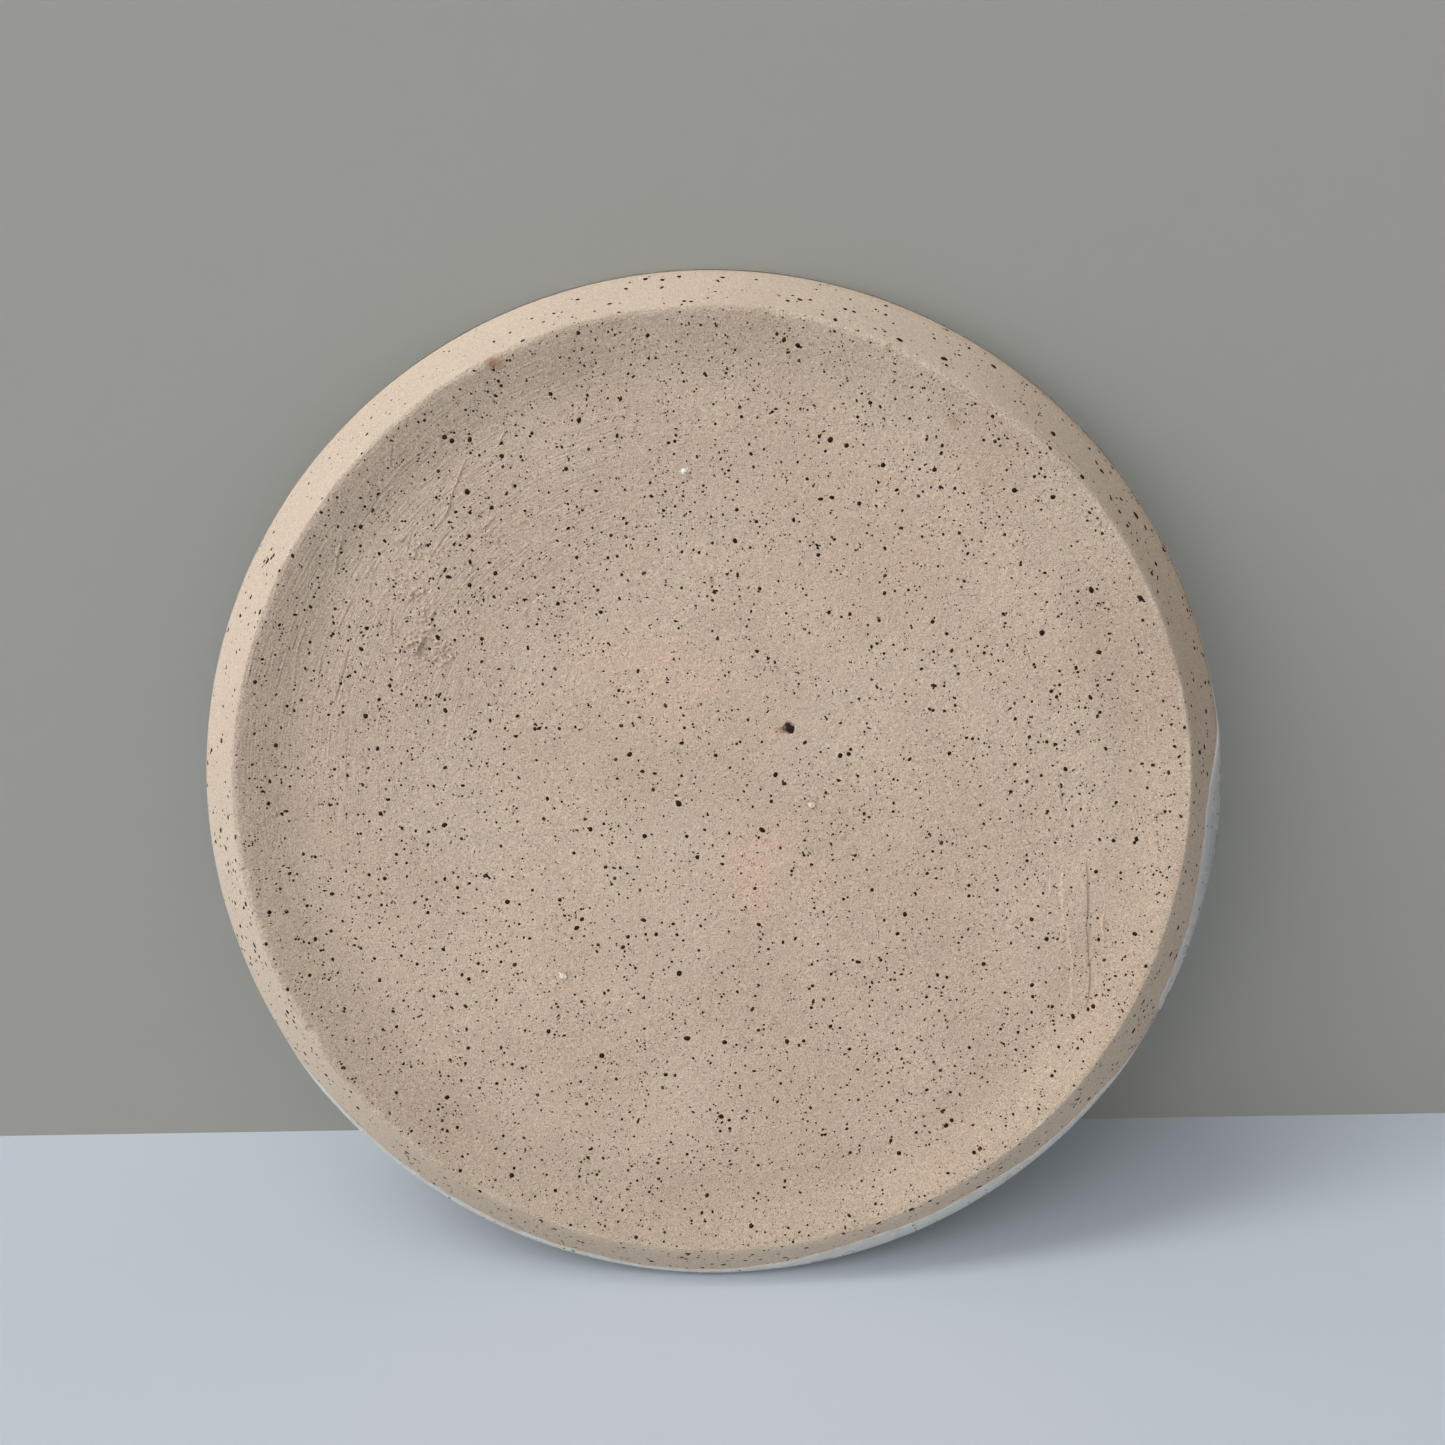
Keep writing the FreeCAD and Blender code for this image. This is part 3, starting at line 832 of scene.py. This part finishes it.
def glaze_back(span, turn):
    """A row of points on the glaze's inner face."""
    along, azimuth, _ = glaze_places(*polar(span, turn))
    return clay_surface(*polar(along, azimuth), -GLAZE_UNDER)


def make_glaze():
    """The skin over the well and the lip, ending in a rolled, wavy edge."""
    places, faces = ring_mesh(np.concatenate([np.arange(*stretch) for stretch in GLAZE_RINGS])[1:])
    points, faces = glaze_points(*places.T).tolist(), faces.tolist()
    outer = outer_ring(places)
    turn = np.arctan2(places[outer, 1], places[outer, 0])
    spans = (WELL_SPAN + GLAZE_TAIL * 0.9, WELL_SPAN, WELL_SPAN * 0.965, WELL_SPAN * 0.94, PLATE["well"])
    rows = [glaze_back(span, turn) for span in spans]
    close_over(points, faces, outer, rows, [0, 0, PLATE["floor"] - GLAZE_UNDER])
    piece = make_mesh("glaze_skin", points, faces)
    along, azimuth, down = glaze_places(*places.T)
    # painted shade on the glaze below the widest circle: full at about 188 degrees, where the plate faces
    # away from the light, and half elsewhere
    shaded = 0.5 + 0.5 * bump(turned(azimuth, 188.0), 0, 32.0)
    store(piece, "thin", np.maximum(bump(along, SECTION.top, 1.5), ramp(down, 0.75, 1.0)))
    # the outside mask carries this painted shade
    store(piece, "outside", ramp(SECTION.widest - along, -0.5, 1.0) * shaded)
    return piece


def tree_of(piece):
    """The piece's surface, for finding points on it, in millimetres."""
    corners = [tuple(face.vertices) for face in piece.data.polygons]
    return BVHTree.FromPolygons(vertices_of(piece).tolist(), corners)


def speck_size(draw, smallest, scale, largest):
    """How wide a speck is: most are near the smallest."""
    while True:
        size = smallest + draw.expovariate(1 / scale)
        if size < largest:
            return size


SPECK_EDGE = 0.006
SPECK_DEPTH = 0.15


def speck_outline(draw, size, stretch):
    """Corners of one speck: nearly round, a little lumpy."""
    corners = 5 if size < 0.4 else 8 if size < 0.8 else 11
    lumps = [draw.uniform(0.86, 1.12) for _ in range(corners)]
    lean = draw.uniform(0, 2 * math.pi)
    long = 1 + draw.random() ** 2 * 0.3
    outline = []
    for k in range(corners):
        x, y = polar(size / 2 * lumps[k], 2 * math.pi * k / corners)
        x, y = rotated(x * long, y / long, lean)
        outline.append((x, y * stretch))
    return outline


class Specks:
    """Closed islands let into a surface. A flipped set lies on the glaze's map, over the well."""

    def __init__(self, piece, flipped=False):
        self.tree = tree_of(piece)
        self.flipped = flipped
        self.corners, self.sizes, self.tints, self.proud = [], [], [], []

    def add(self, place, outline, tint, proud=0.03):
        """A speck whose outline is given outwards along the section, and round the plate."""
        azimuth = math.atan2(place[1], place[0])
        for corner in (*outline, (0, 0)):
            x, y = rotated(*corner, azimuth)
            self.corners.append((place[0] + x, place[1] + y))
        self.sizes.append(len(outline))
        self.tints.append(tint)
        self.proud.append(proud)

    def landings(self, away=1.5):
        """Where a line dropped square onto the section meets the surface, for every corner."""
        along, azimuth = from_centre(*np.array(self.corners).T)
        if self.flipped:
            along = SECTION.end - along
        over, under = (clay_surface(*polar(along, azimuth), height) for height in (away, -away))
        for start, end in zip(over.tolist(), under.tolist()):
            start, end = Vector(start), Vector(end)
            yield self.tree.ray_cast(start, (end - start).normalized(), 2 * away)[:2]

    def build(self, name):
        """One piece out of all the islands, without those that miss the surface."""
        points, faces, tints = [], [], []
        found = self.landings()
        for count, tint, proud in zip(self.sizes, self.tints, self.proud):
            landed = [next(found) for _ in range(count + 1)]
            if any(at is None for at, _ in landed):
                continue
            first = len(points)
            *ring, (centre, normal) = landed
            points.extend(tuple(at + way * SPECK_EDGE) for at, way in ring)
            points.append(tuple(centre + normal * proud))
            points.append(tuple(centre - normal * SPECK_DEPTH))
            for k in range(count):
                here, there = first + k, first + (k + 1) % count
                faces.append((here, there, first + count))
                faces.append((there, here, first + count + 1))
            tints.extend([tint] * (count + 2))
        piece = make_mesh(name, points, faces)
        store(piece, "tint", tints)
        return piece


def speck_places(draw, count, low, high):
    """Map places, thicker on the ground towards the edge and the wiped side, now and then in clusters."""
    places = []
    while len(places) < count:
        along = math.sqrt(draw.uniform(low**2, high**2))
        u, v = polar(along, draw.uniform(-math.pi, math.pi))
        crowded = 0.68 + 0.24 * ramp(along, 40, 100) + 0.08 * bump(math.dist((u, v), (72, 60)), 0, 40)
        if draw.random() > crowded:
            continue
        places.append((u, v))
        while draw.random() < 0.12:
            places.append((u + draw.gauss(0, 1.6), v + draw.gauss(0, 1.6)))
    return [p for p in places if low < math.hypot(*p) < high]


def speck_tint(draw):
    """How brown a speck is: most are nearly black, and a few are rusty."""
    if draw.random() < 0.05:
        return draw.uniform(0.5, 1.0)
    return min(0.4, max(0.0, draw.gauss(0.12, 0.12)))


# how many specks are thrown onto each stretch, and their smallest, typical further and largest width
UNDERSIDE_SPECKS, UNDERSIDE_SIZES = 10400, (0.26, 0.188, 1.45)
WALL_SPECKS, WALL_SIZES = 1400, (0.28, 0.19, 1.2)
WELL_SPECKS, WELL_SIZES = 1500, (0.4, 0.2, 1.5)
RUN_SPECKS, RUN_SIZES = 140, (0.35, 0.15, 1.0)


def make_clay_specks(clay):
    """Iron specks in the bare clay, round on the underside and drawn out along the wall."""
    draw = random.Random(17)
    specks = Specks(clay)
    crest = SECTION.crest
    for place in speck_places(draw, UNDERSIDE_SPECKS, 1.0, crest - 0.4):
        if math.dist(place, BURST[:2]) > CRATER:
            outline = speck_outline(draw, speck_size(draw, *UNDERSIDE_SIZES), 1.0)
            specks.add(place, outline, speck_tint(draw))
    for place in speck_places(draw, WALL_SPECKS, crest + 0.4, SECTION.widest - 1.2):
        sparse = 0.55 * bump(turned(math.atan2(place[1], place[0]), 60.0), 0, 60.0)
        if draw.random() >= sparse:
            outline = speck_outline(draw, speck_size(draw, *WALL_SIZES), draw.uniform(1.1, 1.9))
            specks.add(place, outline, speck_tint(draw), 0.02)
    return specks.build("iron_specks")


def make_nodules(clay):
    """The largest nodules, where the design seats them."""
    draw = random.Random(29)
    specks = Specks(clay)
    for centre in node_islands("iron_nodules"):
        specks.add(centre[:2], speck_outline(draw, draw.uniform(1.35, 1.7), 1.0), 0.1, 0.08)
    return specks.build("iron_nodule_faces")


def make_well_specks(glaze):
    """Iron that has melted through the glaze in the well and on the lip."""
    draw = random.Random(41)
    specks = Specks(glaze, flipped=True)
    for place in speck_places(draw, WELL_SPECKS, 1.0, WELL_SPAN):
        outline = speck_outline(draw, speck_size(draw, *WELL_SIZES), 1.0)
        specks.add(place, outline, draw.uniform(0.3, 0.9), 0.012)
    return specks.build("well_specks")


def make_run_specks(glaze):
    """Iron that has melted through the runs of glaze on the outside."""
    draw = random.Random(43)
    specks = Specks(glaze)
    for _ in range(RUN_SPECKS):
        azimuth = math.radians(draw.uniform(177, 330))
        reach = float(glaze_reach(np.array([azimuth]))[0])
        place = polar(SECTION.widest - draw.uniform(0.0, max(0.1, reach - 0.6)), azimuth)
        outline = speck_outline(draw, speck_size(draw, *RUN_SIZES), 1.3)
        specks.add(place, outline, draw.uniform(0.4, 0.9), 0.012)
    return specks.build("run_specks")


def lump(draw, centre, size, flatness, count=26):
    """Points and faces of an irregular crumb: the hull of points thrown onto a squashed ball."""
    shape = bmesh.new()
    for _ in range(count):
        way = Vector((draw.gauss(0, 1), draw.gauss(0, 1), draw.gauss(0, 1))).normalized()
        reach = size / 2 * draw.uniform(0.75, 1.1)
        shape.verts.new((way.x * reach, way.y * reach, way.z * reach * flatness))
    hull = bmesh.ops.convex_hull(shape, input=shape.verts)
    inner = hull["geom_interior"] + hull["geom_unused"]
    loose = {g for g in inner if isinstance(g, bmesh.types.BMVert)}
    bmesh.ops.delete(shape, geom=list(loose), context="VERTS")
    bmesh.ops.recalc_face_normals(shape, faces=shape.faces)
    shape.verts.index_update()
    points = [tuple(v.co + Vector(centre)) for v in shape.verts]
    faces = [[v.index for v in f.verts] for f in shape.faces]
    shape.free()
    return points, faces


def join_lumps(name, lumps):
    """One flat-shaded piece out of several crumbs."""
    points, faces = [], []
    for some_points, some_faces in lumps:
        first = len(points)
        points.extend(some_points)
        faces.extend([[first + k for k in f] for f in some_faces])
    return make_mesh(name, points, faces, smooth=False)


def make_burst():
    """The burst nodule: four dark, glassy lumps sunk in the crater."""
    draw = random.Random(53)
    x, y = BURST[:2]
    level = PLATE["recess"] + 0.35
    spots = ((0.0, 0.0, 2.1, 0.45), (-0.5, -0.8, 1.5, 0.45), (0.35, 0.75, 1.4, 0.45), (-0.9, 0.1, 1.2, 0.4))
    return join_lumps(
        "burst_lumps",
        [lump(draw, (x + dx, y + dy, level), size, flat) for dx, dy, size, flat in spots],
    )


def make_grit():
    """Crumbs of grit fused to the underside, each with a few smaller ones beside it."""
    draw = random.Random(61)
    lumps = []
    for centre in node_islands("kiln_grit", gap=4.0):
        level = PLATE["recess"] - 0.25
        lumps.append(lump(draw, (centre[0], centre[1], level), 2.3, 0.5))
        for _ in range(3):
            spot = (centre[0] + draw.gauss(0, 1.0), centre[1] + draw.gauss(0, 1.0), level + 0.05)
            lumps.append(lump(draw, spot, draw.uniform(0.5, 1.0), 0.6, 14))
    beside = (BURST[0] + 1.3, BURST[1] - 1.3, PLATE["recess"])
    lumps.append(lump(draw, beside, 0.9, 0.6, 16))
    return join_lumps("grit_crumbs", lumps)


# ---- materials


class Nodes:
    """A small helper that adds shader nodes to a material or a world, and links their sockets."""

    def __init__(self, owner):
        owner.use_nodes = True
        self.owner = owner
        self.tree = owner.node_tree

    def link(self, source, target):
        """Puts a number, a colour, a vector or another node's output into an input."""
        if isinstance(source, (int, float)):
            target.default_value = source
        elif isinstance(source, tuple):
            target.default_value = (*source, 1.0) if target.type == "RGBA" else source
        else:
            self.tree.links.new(source, target)

    def feed(self, node, sources):
        """Fills a node's inputs, given by name or by number."""
        for key, source in sources.items():
            self.link(source, node.inputs[key])
        return node.outputs

    def add(self, kind, sources, **settings):
        """The outputs of a new node."""
        node = self.tree.nodes.new(f"ShaderNode{kind}")
        for name, value in settings.items():
            setattr(node, name, value)
        return self.feed(node, sources)

    def math(self, operation, *values, clamp=False):
        return self.add("Math", dict(enumerate(values)), operation=operation, use_clamp=clamp)[0]

    def times(self, first, second):
        return self.math("MULTIPLY", first, second)

    def place(self):
        """Where the point is, in millimetres."""
        place = self.add("TexCoord", {})["Object"]
        return self.add("VectorMath", {0: place, "Scale": 1 / METRES}, operation="SCALE")[0]

    def around(self, place, length, width):
        """Places that run round the plate and outwards, in units of a mark's length and width."""
        x, y, _ = self.add("SeparateXYZ", {0: place})
        far = self.math("SQRT", self.math("ADD", self.times(x, x), self.times(y, y)))
        turn = self.times(self.math("ARCTAN2", y, x), PLATE["flat"] / length)
        return self.add("CombineXYZ", {0: turn, 1: self.math("DIVIDE", far, width)})[0]

    def noise(self, place, size, detail=3.0, roughness=0.5):
        sources = {"Vector": place, "Scale": 1 / size, "Detail": detail, "Roughness": roughness}
        return self.add("TexNoise", sources)["Fac"]

    def fit(self, value, low, high, to_low=0.0, to_high=1.0, smooth=True):
        """Carries a value from one range to another, and stops at its ends."""
        sources = {"Value": value, "From Min": low, "From Max": high, "To Min": to_low, "To Max": to_high}
        shape = "SMOOTHSTEP" if smooth else "LINEAR"
        return self.add("MapRange", sources, interpolation_type=shape)["Result"]

    def mix(self, factor, first, second, blend="MIX"):
        sources = {"Factor": factor, 6: first, 7: second}
        return self.add("Mix", sources, data_type="RGBA", blend_type=blend)[2]

    def coats(self, colour, *coats):
        """Lays colours over one another, each as a mask, a share of it, and the colour."""
        for mask, share, tone in coats:
            colour = self.mix(self.times(mask, share), colour, tone)
        return colour

    def shade(self, colour, value, share, darkest, lightest):
        """Darkens and lightens a colour by a share of a noise."""
        tone = self.mix(self.fit(value, 0.3, 0.7), (darkest,) * 3, (lightest,) * 3)
        return self.mix(share, colour, self.mix(1.0, colour, tone, "MULTIPLY"))

    def value(self, name):
        """A value stored at the vertices."""
        return self.add("Attribute", {}, attribute_name=name)["Fac"]

    def dots(self, place, spacing, smallest, largest, softness):
        """1 inside random dots and 0 between them; sizes are radii in millimetres."""
        cells = self.add("TexVoronoi", {"Vector": place, "Scale": 1 / spacing}, feature="F1")
        chance = self.add("SeparateColor", {0: cells["Color"]})[0]
        radius = self.fit(chance, 0.0, 1.0, smallest / spacing, largest / spacing, smooth=False)
        edge = self.math("SUBTRACT", cells["Distance"], radius)
        return self.fit(edge, -softness / spacing, softness / spacing, 1.0, 0.0)

    def bumps(self, *layers):
        """A normal bent by layers of bumps, each a height and its depth in millimetres."""
        normal = {}
        for height, depth in layers:
            sources = {"Height": height, "Distance": depth * METRES, **normal}
            normal = {"Normal": self.add("Bump", sources)["Normal"]}
        return normal["Normal"]

    def surface(self, colour, roughness, **sources):
        """Sets the surface shader's inputs. An input's name is given with _ for its spaces."""
        sources = {name.replace("_", " "): source for name, source in sources.items()}
        shader = self.tree.nodes["Principled BSDF"]
        return self.feed(shader, {"Base Color": colour, "Roughness": roughness, **sources})[0]


def new_material(name):
    return Nodes(bpy.data.materials.new(name))


def clay_material():
    """Fired, unglazed stoneware: mottled tan, fine iron, grain, pink flush and worn edges, with painted
    shade on one side of the wall.
    """
    n = new_material("bare_clay")
    place = n.place()
    wall, wiped = n.value("wall"), n.value("wiped")
    cloud = n.fit(n.noise(place, 42.0, 4.0), 0.35, 0.65)
    colour = n.coats(
        n.mix(cloud, (0.560, 0.427, 0.324), (0.606, 0.480, 0.368)),
        (n.fit(n.noise(place, 7.0, 5.0, 0.6), 0.30, 0.70), 0.35, (0.510, 0.402, 0.318)),
        (wiped, 0.35, (0.475, 0.378, 0.302)),
        (n.value("flush"), 0.55, (0.68, 0.458, 0.352)),
        (wall, 0.6, (0.590, 0.496, 0.397)),
        # painted shade on the wall's shaded side, partly stain, and the darker ring by the crest
        (n.value("wall_shade_and_ring_darkening"), 0.84, (0.40, 0.315, 0.235)),
        (n.value("worn"), 0.5, (0.66, 0.55, 0.44)),
    )
    smoothness = n.math("SUBTRACT", 1.0, n.times(wall, 0.45))
    streaks = n.noise(n.around(place, 14.0, 0.55), 1.0, 3.0)
    wiped = n.times(wiped, n.fit(n.noise(place, 11.0), 0.35, 0.6, 0.35, 1.0))
    grain, sand = n.noise(place, 0.9, 4.0, 0.65), n.noise(place, 0.38, 2.0, 0.6)
    colour = n.shade(colour, streaks, wiped, 0.90, 1.08)
    colour = n.shade(colour, grain, smoothness, 0.89, 1.10)
    colour = n.shade(colour, sand, smoothness, 0.77, 1.20)
    fine = n.times(n.dots(place, 1.15, -0.30, 0.21, 0.05), 0.9)
    finer = n.times(n.dots(place, 0.62, -0.22, 0.14, 0.04), 0.8)
    colour = n.coats(
        colour,
        (n.dots(place, 2.3, -0.25, 0.30, 0.08), 0.35, (0.72, 0.62, 0.50)),
        (n.value("rust"), 0.75, (0.30, 0.15, 0.055)),
        (n.math("MAXIMUM", fine, finer), smoothness, (0.060, 0.036, 0.026)),
    )
    relief = n.bumps(
        (n.times(n.noise(place, 1.7), smoothness), 0.30),
        (n.times(n.noise(place, 0.65, 3.0, 0.6), smoothness), 0.20),
        (n.times(sand, smoothness), 0.15),
        (n.times(streaks, wiped), 0.40),
    )
    roughness = n.fit(n.noise(place, 3.0), 0.3, 0.7, 0.78, 0.95)
    n.surface(colour, roughness, Normal=relief, Specular_IOR_Level=0.25)
    return n.owner


def glaze_material():
    """Satin white glaze, tan where it is thin, with iron bleeding through, and painted shade on its runs
    down the outside.
    """
    n = new_material("white_glaze")
    place = n.place()
    cloud = n.fit(n.noise(place, 30.0, 4.0), 0.3, 0.7)
    milky = n.fit(n.noise(place, 2.6, 4.0, 0.6), 0.35, 0.65)
    broken = n.times(n.value("thin"), n.fit(n.noise(place, 3.5, 4.0), 0.30, 0.65))
    colour = n.coats(
        n.mix(cloud, (0.76, 0.75, 0.70), (0.82, 0.81, 0.77)),
        (milky, 0.25, (0.70, 0.68, 0.62)),
        (broken, 0.65, (0.52, 0.40, 0.28)),
        # painted shade with a warm painted reflection of the wall, over the glaze runs outside
        (n.value("outside"), 1.0, (0.375, 0.370, 0.360)),
        (n.dots(place, 3.4, -0.6, 0.75, 0.45), 0.45, (0.50, 0.36, 0.22)),
        (n.dots(place, 1.6, -0.5, 0.24, 0.12), 0.7, (0.16, 0.10, 0.065)),
    )
    relief = n.bumps((n.noise(place, 4.5, 2.0), 0.10), (n.dots(place, 5.0, -0.5, 0.16, 0.08), -0.05))
    roughness = n.fit(n.noise(place, 8.0), 0.3, 0.7, 0.22, 0.36)
    n.surface(colour, roughness, Normal=relief, Coat_Weight=0.25, Coat_Roughness=0.12)
    return n.owner


def iron_material(name, dark, light, roughness, shine=0.5):
    """Melted iron, from a dark colour to a light one by each speck's tint."""
    n = new_material(name)
    place = n.place()
    cloud = n.fit(n.noise(place, 0.4, 2.0), 0.3, 0.7, -0.1, 0.1)
    colour = n.mix(n.math("ADD", n.value("tint"), cloud, clamp=True), dark, light)
    relief = n.bumps((n.noise(place, 0.3, 2.0), 0.03))
    n.surface(colour, roughness, Normal=relief, Specular_IOR_Level=shine)
    return n.owner


def grit_material():
    """Pale, crumbly kiln grit with darker flecks."""
    n = new_material("kiln_grit")
    place = n.place()
    colour = n.mix(n.fit(n.noise(place, 0.5), 0.4, 0.6), (0.86, 0.83, 0.76), (0.52, 0.43, 0.30))
    n.surface(colour, 0.9, Normal=n.bumps((n.noise(place, 0.25), 0.06)))
    return n.owner


# ---- stage, light and camera

# the camera, in metres, and how far the wall and the shelf lean and roll for its view
CAMERA_AT = (-0.0102, 0.0643, -0.3587)
CAMERA_LOOKS = (0.0182, -0.1226, 0.9923)
LENS = 34.88
LEAN = math.radians(13.5)
ROLL = math.radians(1.6)
SIDE = 8.0


def stage_material(name, colour, below):
    """Plain paint that only shows to a camera on one side of the plane the plate stands on."""
    n = new_material(name)
    paint = n.surface(colour, 0.9, Specular_IOR_Level=0.1)
    to_world = {"vector_type": "POINT", "convert_from": "CAMERA", "convert_to": "WORLD"}
    eye = n.add("VectorTransform", {0: (0, 0, 0)}, **to_world)[0]
    level = n.add("SeparateXYZ", {0: eye})["Z"]
    shown = n.math("LESS_THAN" if below else "GREATER_THAN", level, 0.0)
    clear = n.add("BsdfTransparent", {})[0]
    blend = n.add("MixShader", {0: shown, 1: clear, 2: paint})[0]
    n.link(blend, n.tree.nodes["Material Output"].inputs["Surface"])
    return n.owner


def make_plane(name, at, normal, material):
    """A wide flat sheet through a point."""
    turn = Vector(normal).to_track_quat("Z", "Y").to_matrix()
    square = ((-SIDE, -SIDE), (SIDE, -SIDE), (SIDE, SIDE), (-SIDE, SIDE))
    mesh = bpy.data.meshes.new(name)
    mesh.from_pydata([turn @ Vector((x, y, 0)) + Vector(at) for x, y in square], [], [(0, 1, 2, 3)])
    mesh.materials.append(material)
    add_object(name, mesh)


def make_stage():
    """A floor under the standing plate, and, for the view from below, a shelf and a wall it leans on."""
    make_plane("floor", (0, 0, 0), (0, 0, 1), stage_material("floor_paint", (0.72, 0.72, 0.71), False))
    up = Vector((math.sin(ROLL), math.cos(LEAN) * math.cos(ROLL), -math.sin(LEAN) * math.cos(ROLL)))
    out = Vector((0, -math.sin(LEAN), -math.cos(LEAN)))
    lip_centre, level = PLATE["rim"] - PLATE["lip"], PLATE["widest"]
    reach = PLATE["lip"] + PLATE["skin"]
    down = -Vector((up.x, up.y, 0)).normalized() * lip_centre
    top = Vector((0, lip_centre, level)) - out * reach
    bottom = Vector((down.x, down.y, level)) - up * reach
    wall = stage_material("wall_paint", (0.354, 0.349, 0.320), True)
    shelf = stage_material("shelf_paint", (0.532, 0.584, 0.645), True)
    make_plane("wall", top * METRES, out, wall)
    make_plane("shelf", bottom * METRES, up, shelf)


WARM, COOL = (1.0, 0.985, 0.965), (0.94, 0.97, 1.0)
# each light: name, place, width and height in metres, watts, colour
LIGHTS = (
    ("key_below", (3.40, 1.90, -3.13), (7.0, 4.6), 152.0, WARM),
    ("top_below", (3.00, 3.60, -1.80), (6.0, 1.2), 112.0, WARM),
    ("front_below", (-0.50, 2.75, -4.15), (5.0, 3.5), 60.0, WARM),
    ("key_above", (-0.9, -0.5, 1.3), (0.9, 0.9), 12.0, WARM),
    ("fill_above", (1.1, -0.9, 0.9), (1.4, 1.4), 5.0, COOL),
)
# how bright the room is, how that grows along each axis, and how much brighter the ceiling is
WORLD_LEVEL = 0.29
WORLD_SLOPE = (0.16, -0.11, -0.12)
SKY_LEVEL = 0.36


def area_light(name, at, size, power, colour):
    """A soft, oblong light that points at the plate."""
    lamp = bpy.data.lights.new(name, "AREA")
    lamp.shape = "RECTANGLE"
    lamp.size, lamp.size_y = size
    lamp.energy = power
    lamp.color = colour
    holder = add_object(name, lamp)
    holder.location = at
    holder.rotation_euler = (-Vector(at)).to_track_quat("-Z", "Y").to_euler()


def make_lights():
    """Three soft lights for the leaning view from below, and a pair above the plate for the rest."""
    for light in LIGHTS:
        area_light(*light)
    make_world()


def make_world():
    """A dim room, brighter on the key's side and in front of the leaning plate, under a pale ceiling."""
    n = Nodes(bpy.data.worlds.new("studio"))
    way = n.add("TexCoord", {})["Generated"]
    slope = n.add("VectorMath", {0: way, 1: WORLD_SLOPE}, operation="DOT_PRODUCT")["Value"]
    room = n.math("ADD", slope, WORLD_LEVEL)
    height = n.add("SeparateXYZ", {0: way})["Z"]
    ceiling = n.fit(height, -0.04, 0.03, 0.0, SKY_LEVEL, smooth=False)
    strength = n.math("ADD", room, ceiling)
    n.feed(n.tree.nodes["Background"], {"Color": (0.86, 0.90, 0.95), "Strength": strength})
    bpy.context.scene.world = n.owner


def make_camera():
    """The camera, under the standing plate and looking up at its underside."""
    lens = bpy.data.cameras.new("camera")
    lens.lens = LENS
    camera = add_object("camera", lens)
    forward = Vector(CAMERA_LOOKS).normalized()
    right = forward.cross(Vector((0, 1, 0))).normalized()
    up = right.cross(forward)
    turn = Matrix((right, up, -forward)).transposed().to_4x4()
    camera.matrix_world = Matrix.Translation(CAMERA_AT) @ turn
    bpy.context.scene.camera = camera


# ---- putting it together


def fit_out(piece, material, slot, *nodes):
    """Gives a piece its material, and ties it to the frame."""
    piece.data.materials.append(material)
    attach(piece, "root")
    if nodes:
        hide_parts(*nodes)


def main():
    bpy.context.scene.view_settings.view_transform = "Standard"
    clay = make_clay()
    glaze = make_glaze()
    iron = iron_material("iron", (0.022, 0.010, 0.006), (0.110, 0.055, 0.030), 0.8, 0.12)
    veiled = iron_material("veiled_iron", (0.060, 0.034, 0.022), (0.26, 0.165, 0.10), 0.25)
    fit_out(clay, clay_material(), "bare_clay", "clay_body")
    fit_out(glaze, glaze_material(), "white_glaze", "glaze_coat")
    fit_out(make_clay_specks(clay), iron, "iron")
    fit_out(make_nodules(clay), iron, "iron", "iron_nodules")
    glassy = iron_material("burst_iron", (0.015, 0.008, 0.006), (0.06, 0.03, 0.015), 0.5, 0.25)
    fit_out(make_burst(), glassy, "iron", "burst_nodule")
    fit_out(make_grit(), grit_material(), "grit", "kiln_grit")
    fit_out(make_well_specks(glaze), veiled, "iron")
    fit_out(make_run_specks(glaze), veiled, "iron")
    make_stage()
    make_lights()
    make_camera()


main()
